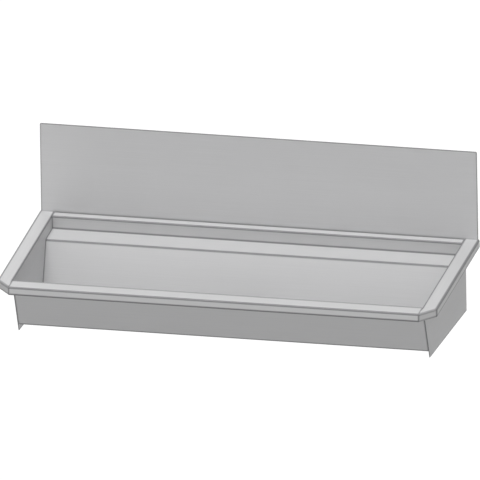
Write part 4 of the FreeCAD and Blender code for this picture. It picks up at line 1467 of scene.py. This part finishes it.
def turned_to(back, roll, place):
    """Matrix of a lamp or camera that looks against `back`, leaning by the roll."""
    right = unit(np.cross((0, 0, 1), back))
    up = np.cross(back, right)
    matrix = np.eye(4)
    matrix[:3, 0] = math.cos(roll) * right - math.sin(roll) * up
    matrix[:3, 1] = math.sin(roll) * right + math.cos(roll) * up
    matrix[:3, 2] = back
    matrix[:3, 3] = place
    return Matrix(matrix.tolist())


def build_camera(scene, stage):
    """Parallel-view camera. The rim's left rear corner is put at its place in the picture."""
    camera_data = bpy.data.cameras.new("camera")
    camera_data.type = "ORTHO"
    camera_data.ortho_scale = stage.view_width
    camera_data.clip_end = 50.0
    camera = bpy.data.objects.new("camera", camera_data)
    turn, tilt = stage.azimuth, stage.elevation
    back = np.array([math.sin(turn) * math.cos(tilt), -math.cos(turn) * math.cos(tilt), math.sin(tilt)])
    right, up = np.array(turned_to(back, stage.roll, (0, 0, 0)))[:3, :2].T
    picture, corner_pixel = 480, (40.05, 210.35)
    across, down = ((picture / 2 - place) * stage.view_width / picture for place in corner_pixel)
    middle = np.array([-HALF_SINK, 0, RIM_TOP]) + right * across - up * down
    camera.matrix_world = turned_to(back, stage.roll, middle + back * STAGE_DISTANCE)
    scene.collection.objects.link(camera)
    scene.camera = camera


class SINK_PT_sidebar(Panel):
    """Sidebar panel with the sizes, the finishes and a button for each group of pieces"""
    bl_idname = "SINK_PT_sidebar"
    bl_label = "Hand wash sink"
    bl_space_type = "VIEW_3D"
    bl_region_type = "UI"
    bl_category = "Sink"

    def draw(self, context):
        for operator in operators:
            self.layout.operator(operator.bl_idname)
        for name in settings:
            group = getattr(context.scene, name)
            box = self.layout.box()
            for size in group.__annotations__:
                box.prop(group, size)


operators = (
    SINK_OT_trough,
    SINK_OT_end_panels,
    SINK_OT_splashback,
    SINK_OT_brackets,
    SINK_OT_welds,
    SINK_OT_damping_pads,
    SINK_OT_waste,
    SINK_OT_strainer,
    SINK_OT_stage,
)
settings = {
    "sink_sizes": SinkTroughSizes,
    "sink_waste": SinkWasteSizes,
    "sink_finishes": SinkFinishes,
    "sink_stage": SinkStage,
}


classes = (*settings.values(), *operators, SINK_PT_sidebar)


def register():
    """Registers the classes, and adds the groups of settings to the scene."""
    for one in classes:
        bpy.utils.register_class(one)
    for name, group in settings.items():
        setattr(bpy.types.Scene, name, PointerProperty(type=group))


def unregister():
    """Takes back what register did, in the other order."""
    for name in settings:
        delattr(bpy.types.Scene, name)
    for one in reversed(classes):
        bpy.utils.unregister_class(one)


def main():
    """Makes every group of pieces and the stage."""
    register()
    bpy.ops.sink.trough()
    bpy.ops.sink.end_panels()
    bpy.ops.sink.splashback()
    bpy.ops.sink.brackets()
    bpy.ops.sink.welds()
    bpy.ops.sink.damping_pads()
    bpy.ops.sink.waste()
    bpy.ops.sink.strainer()
    bpy.ops.sink.stage()


if __name__ == "__main__":
    main()
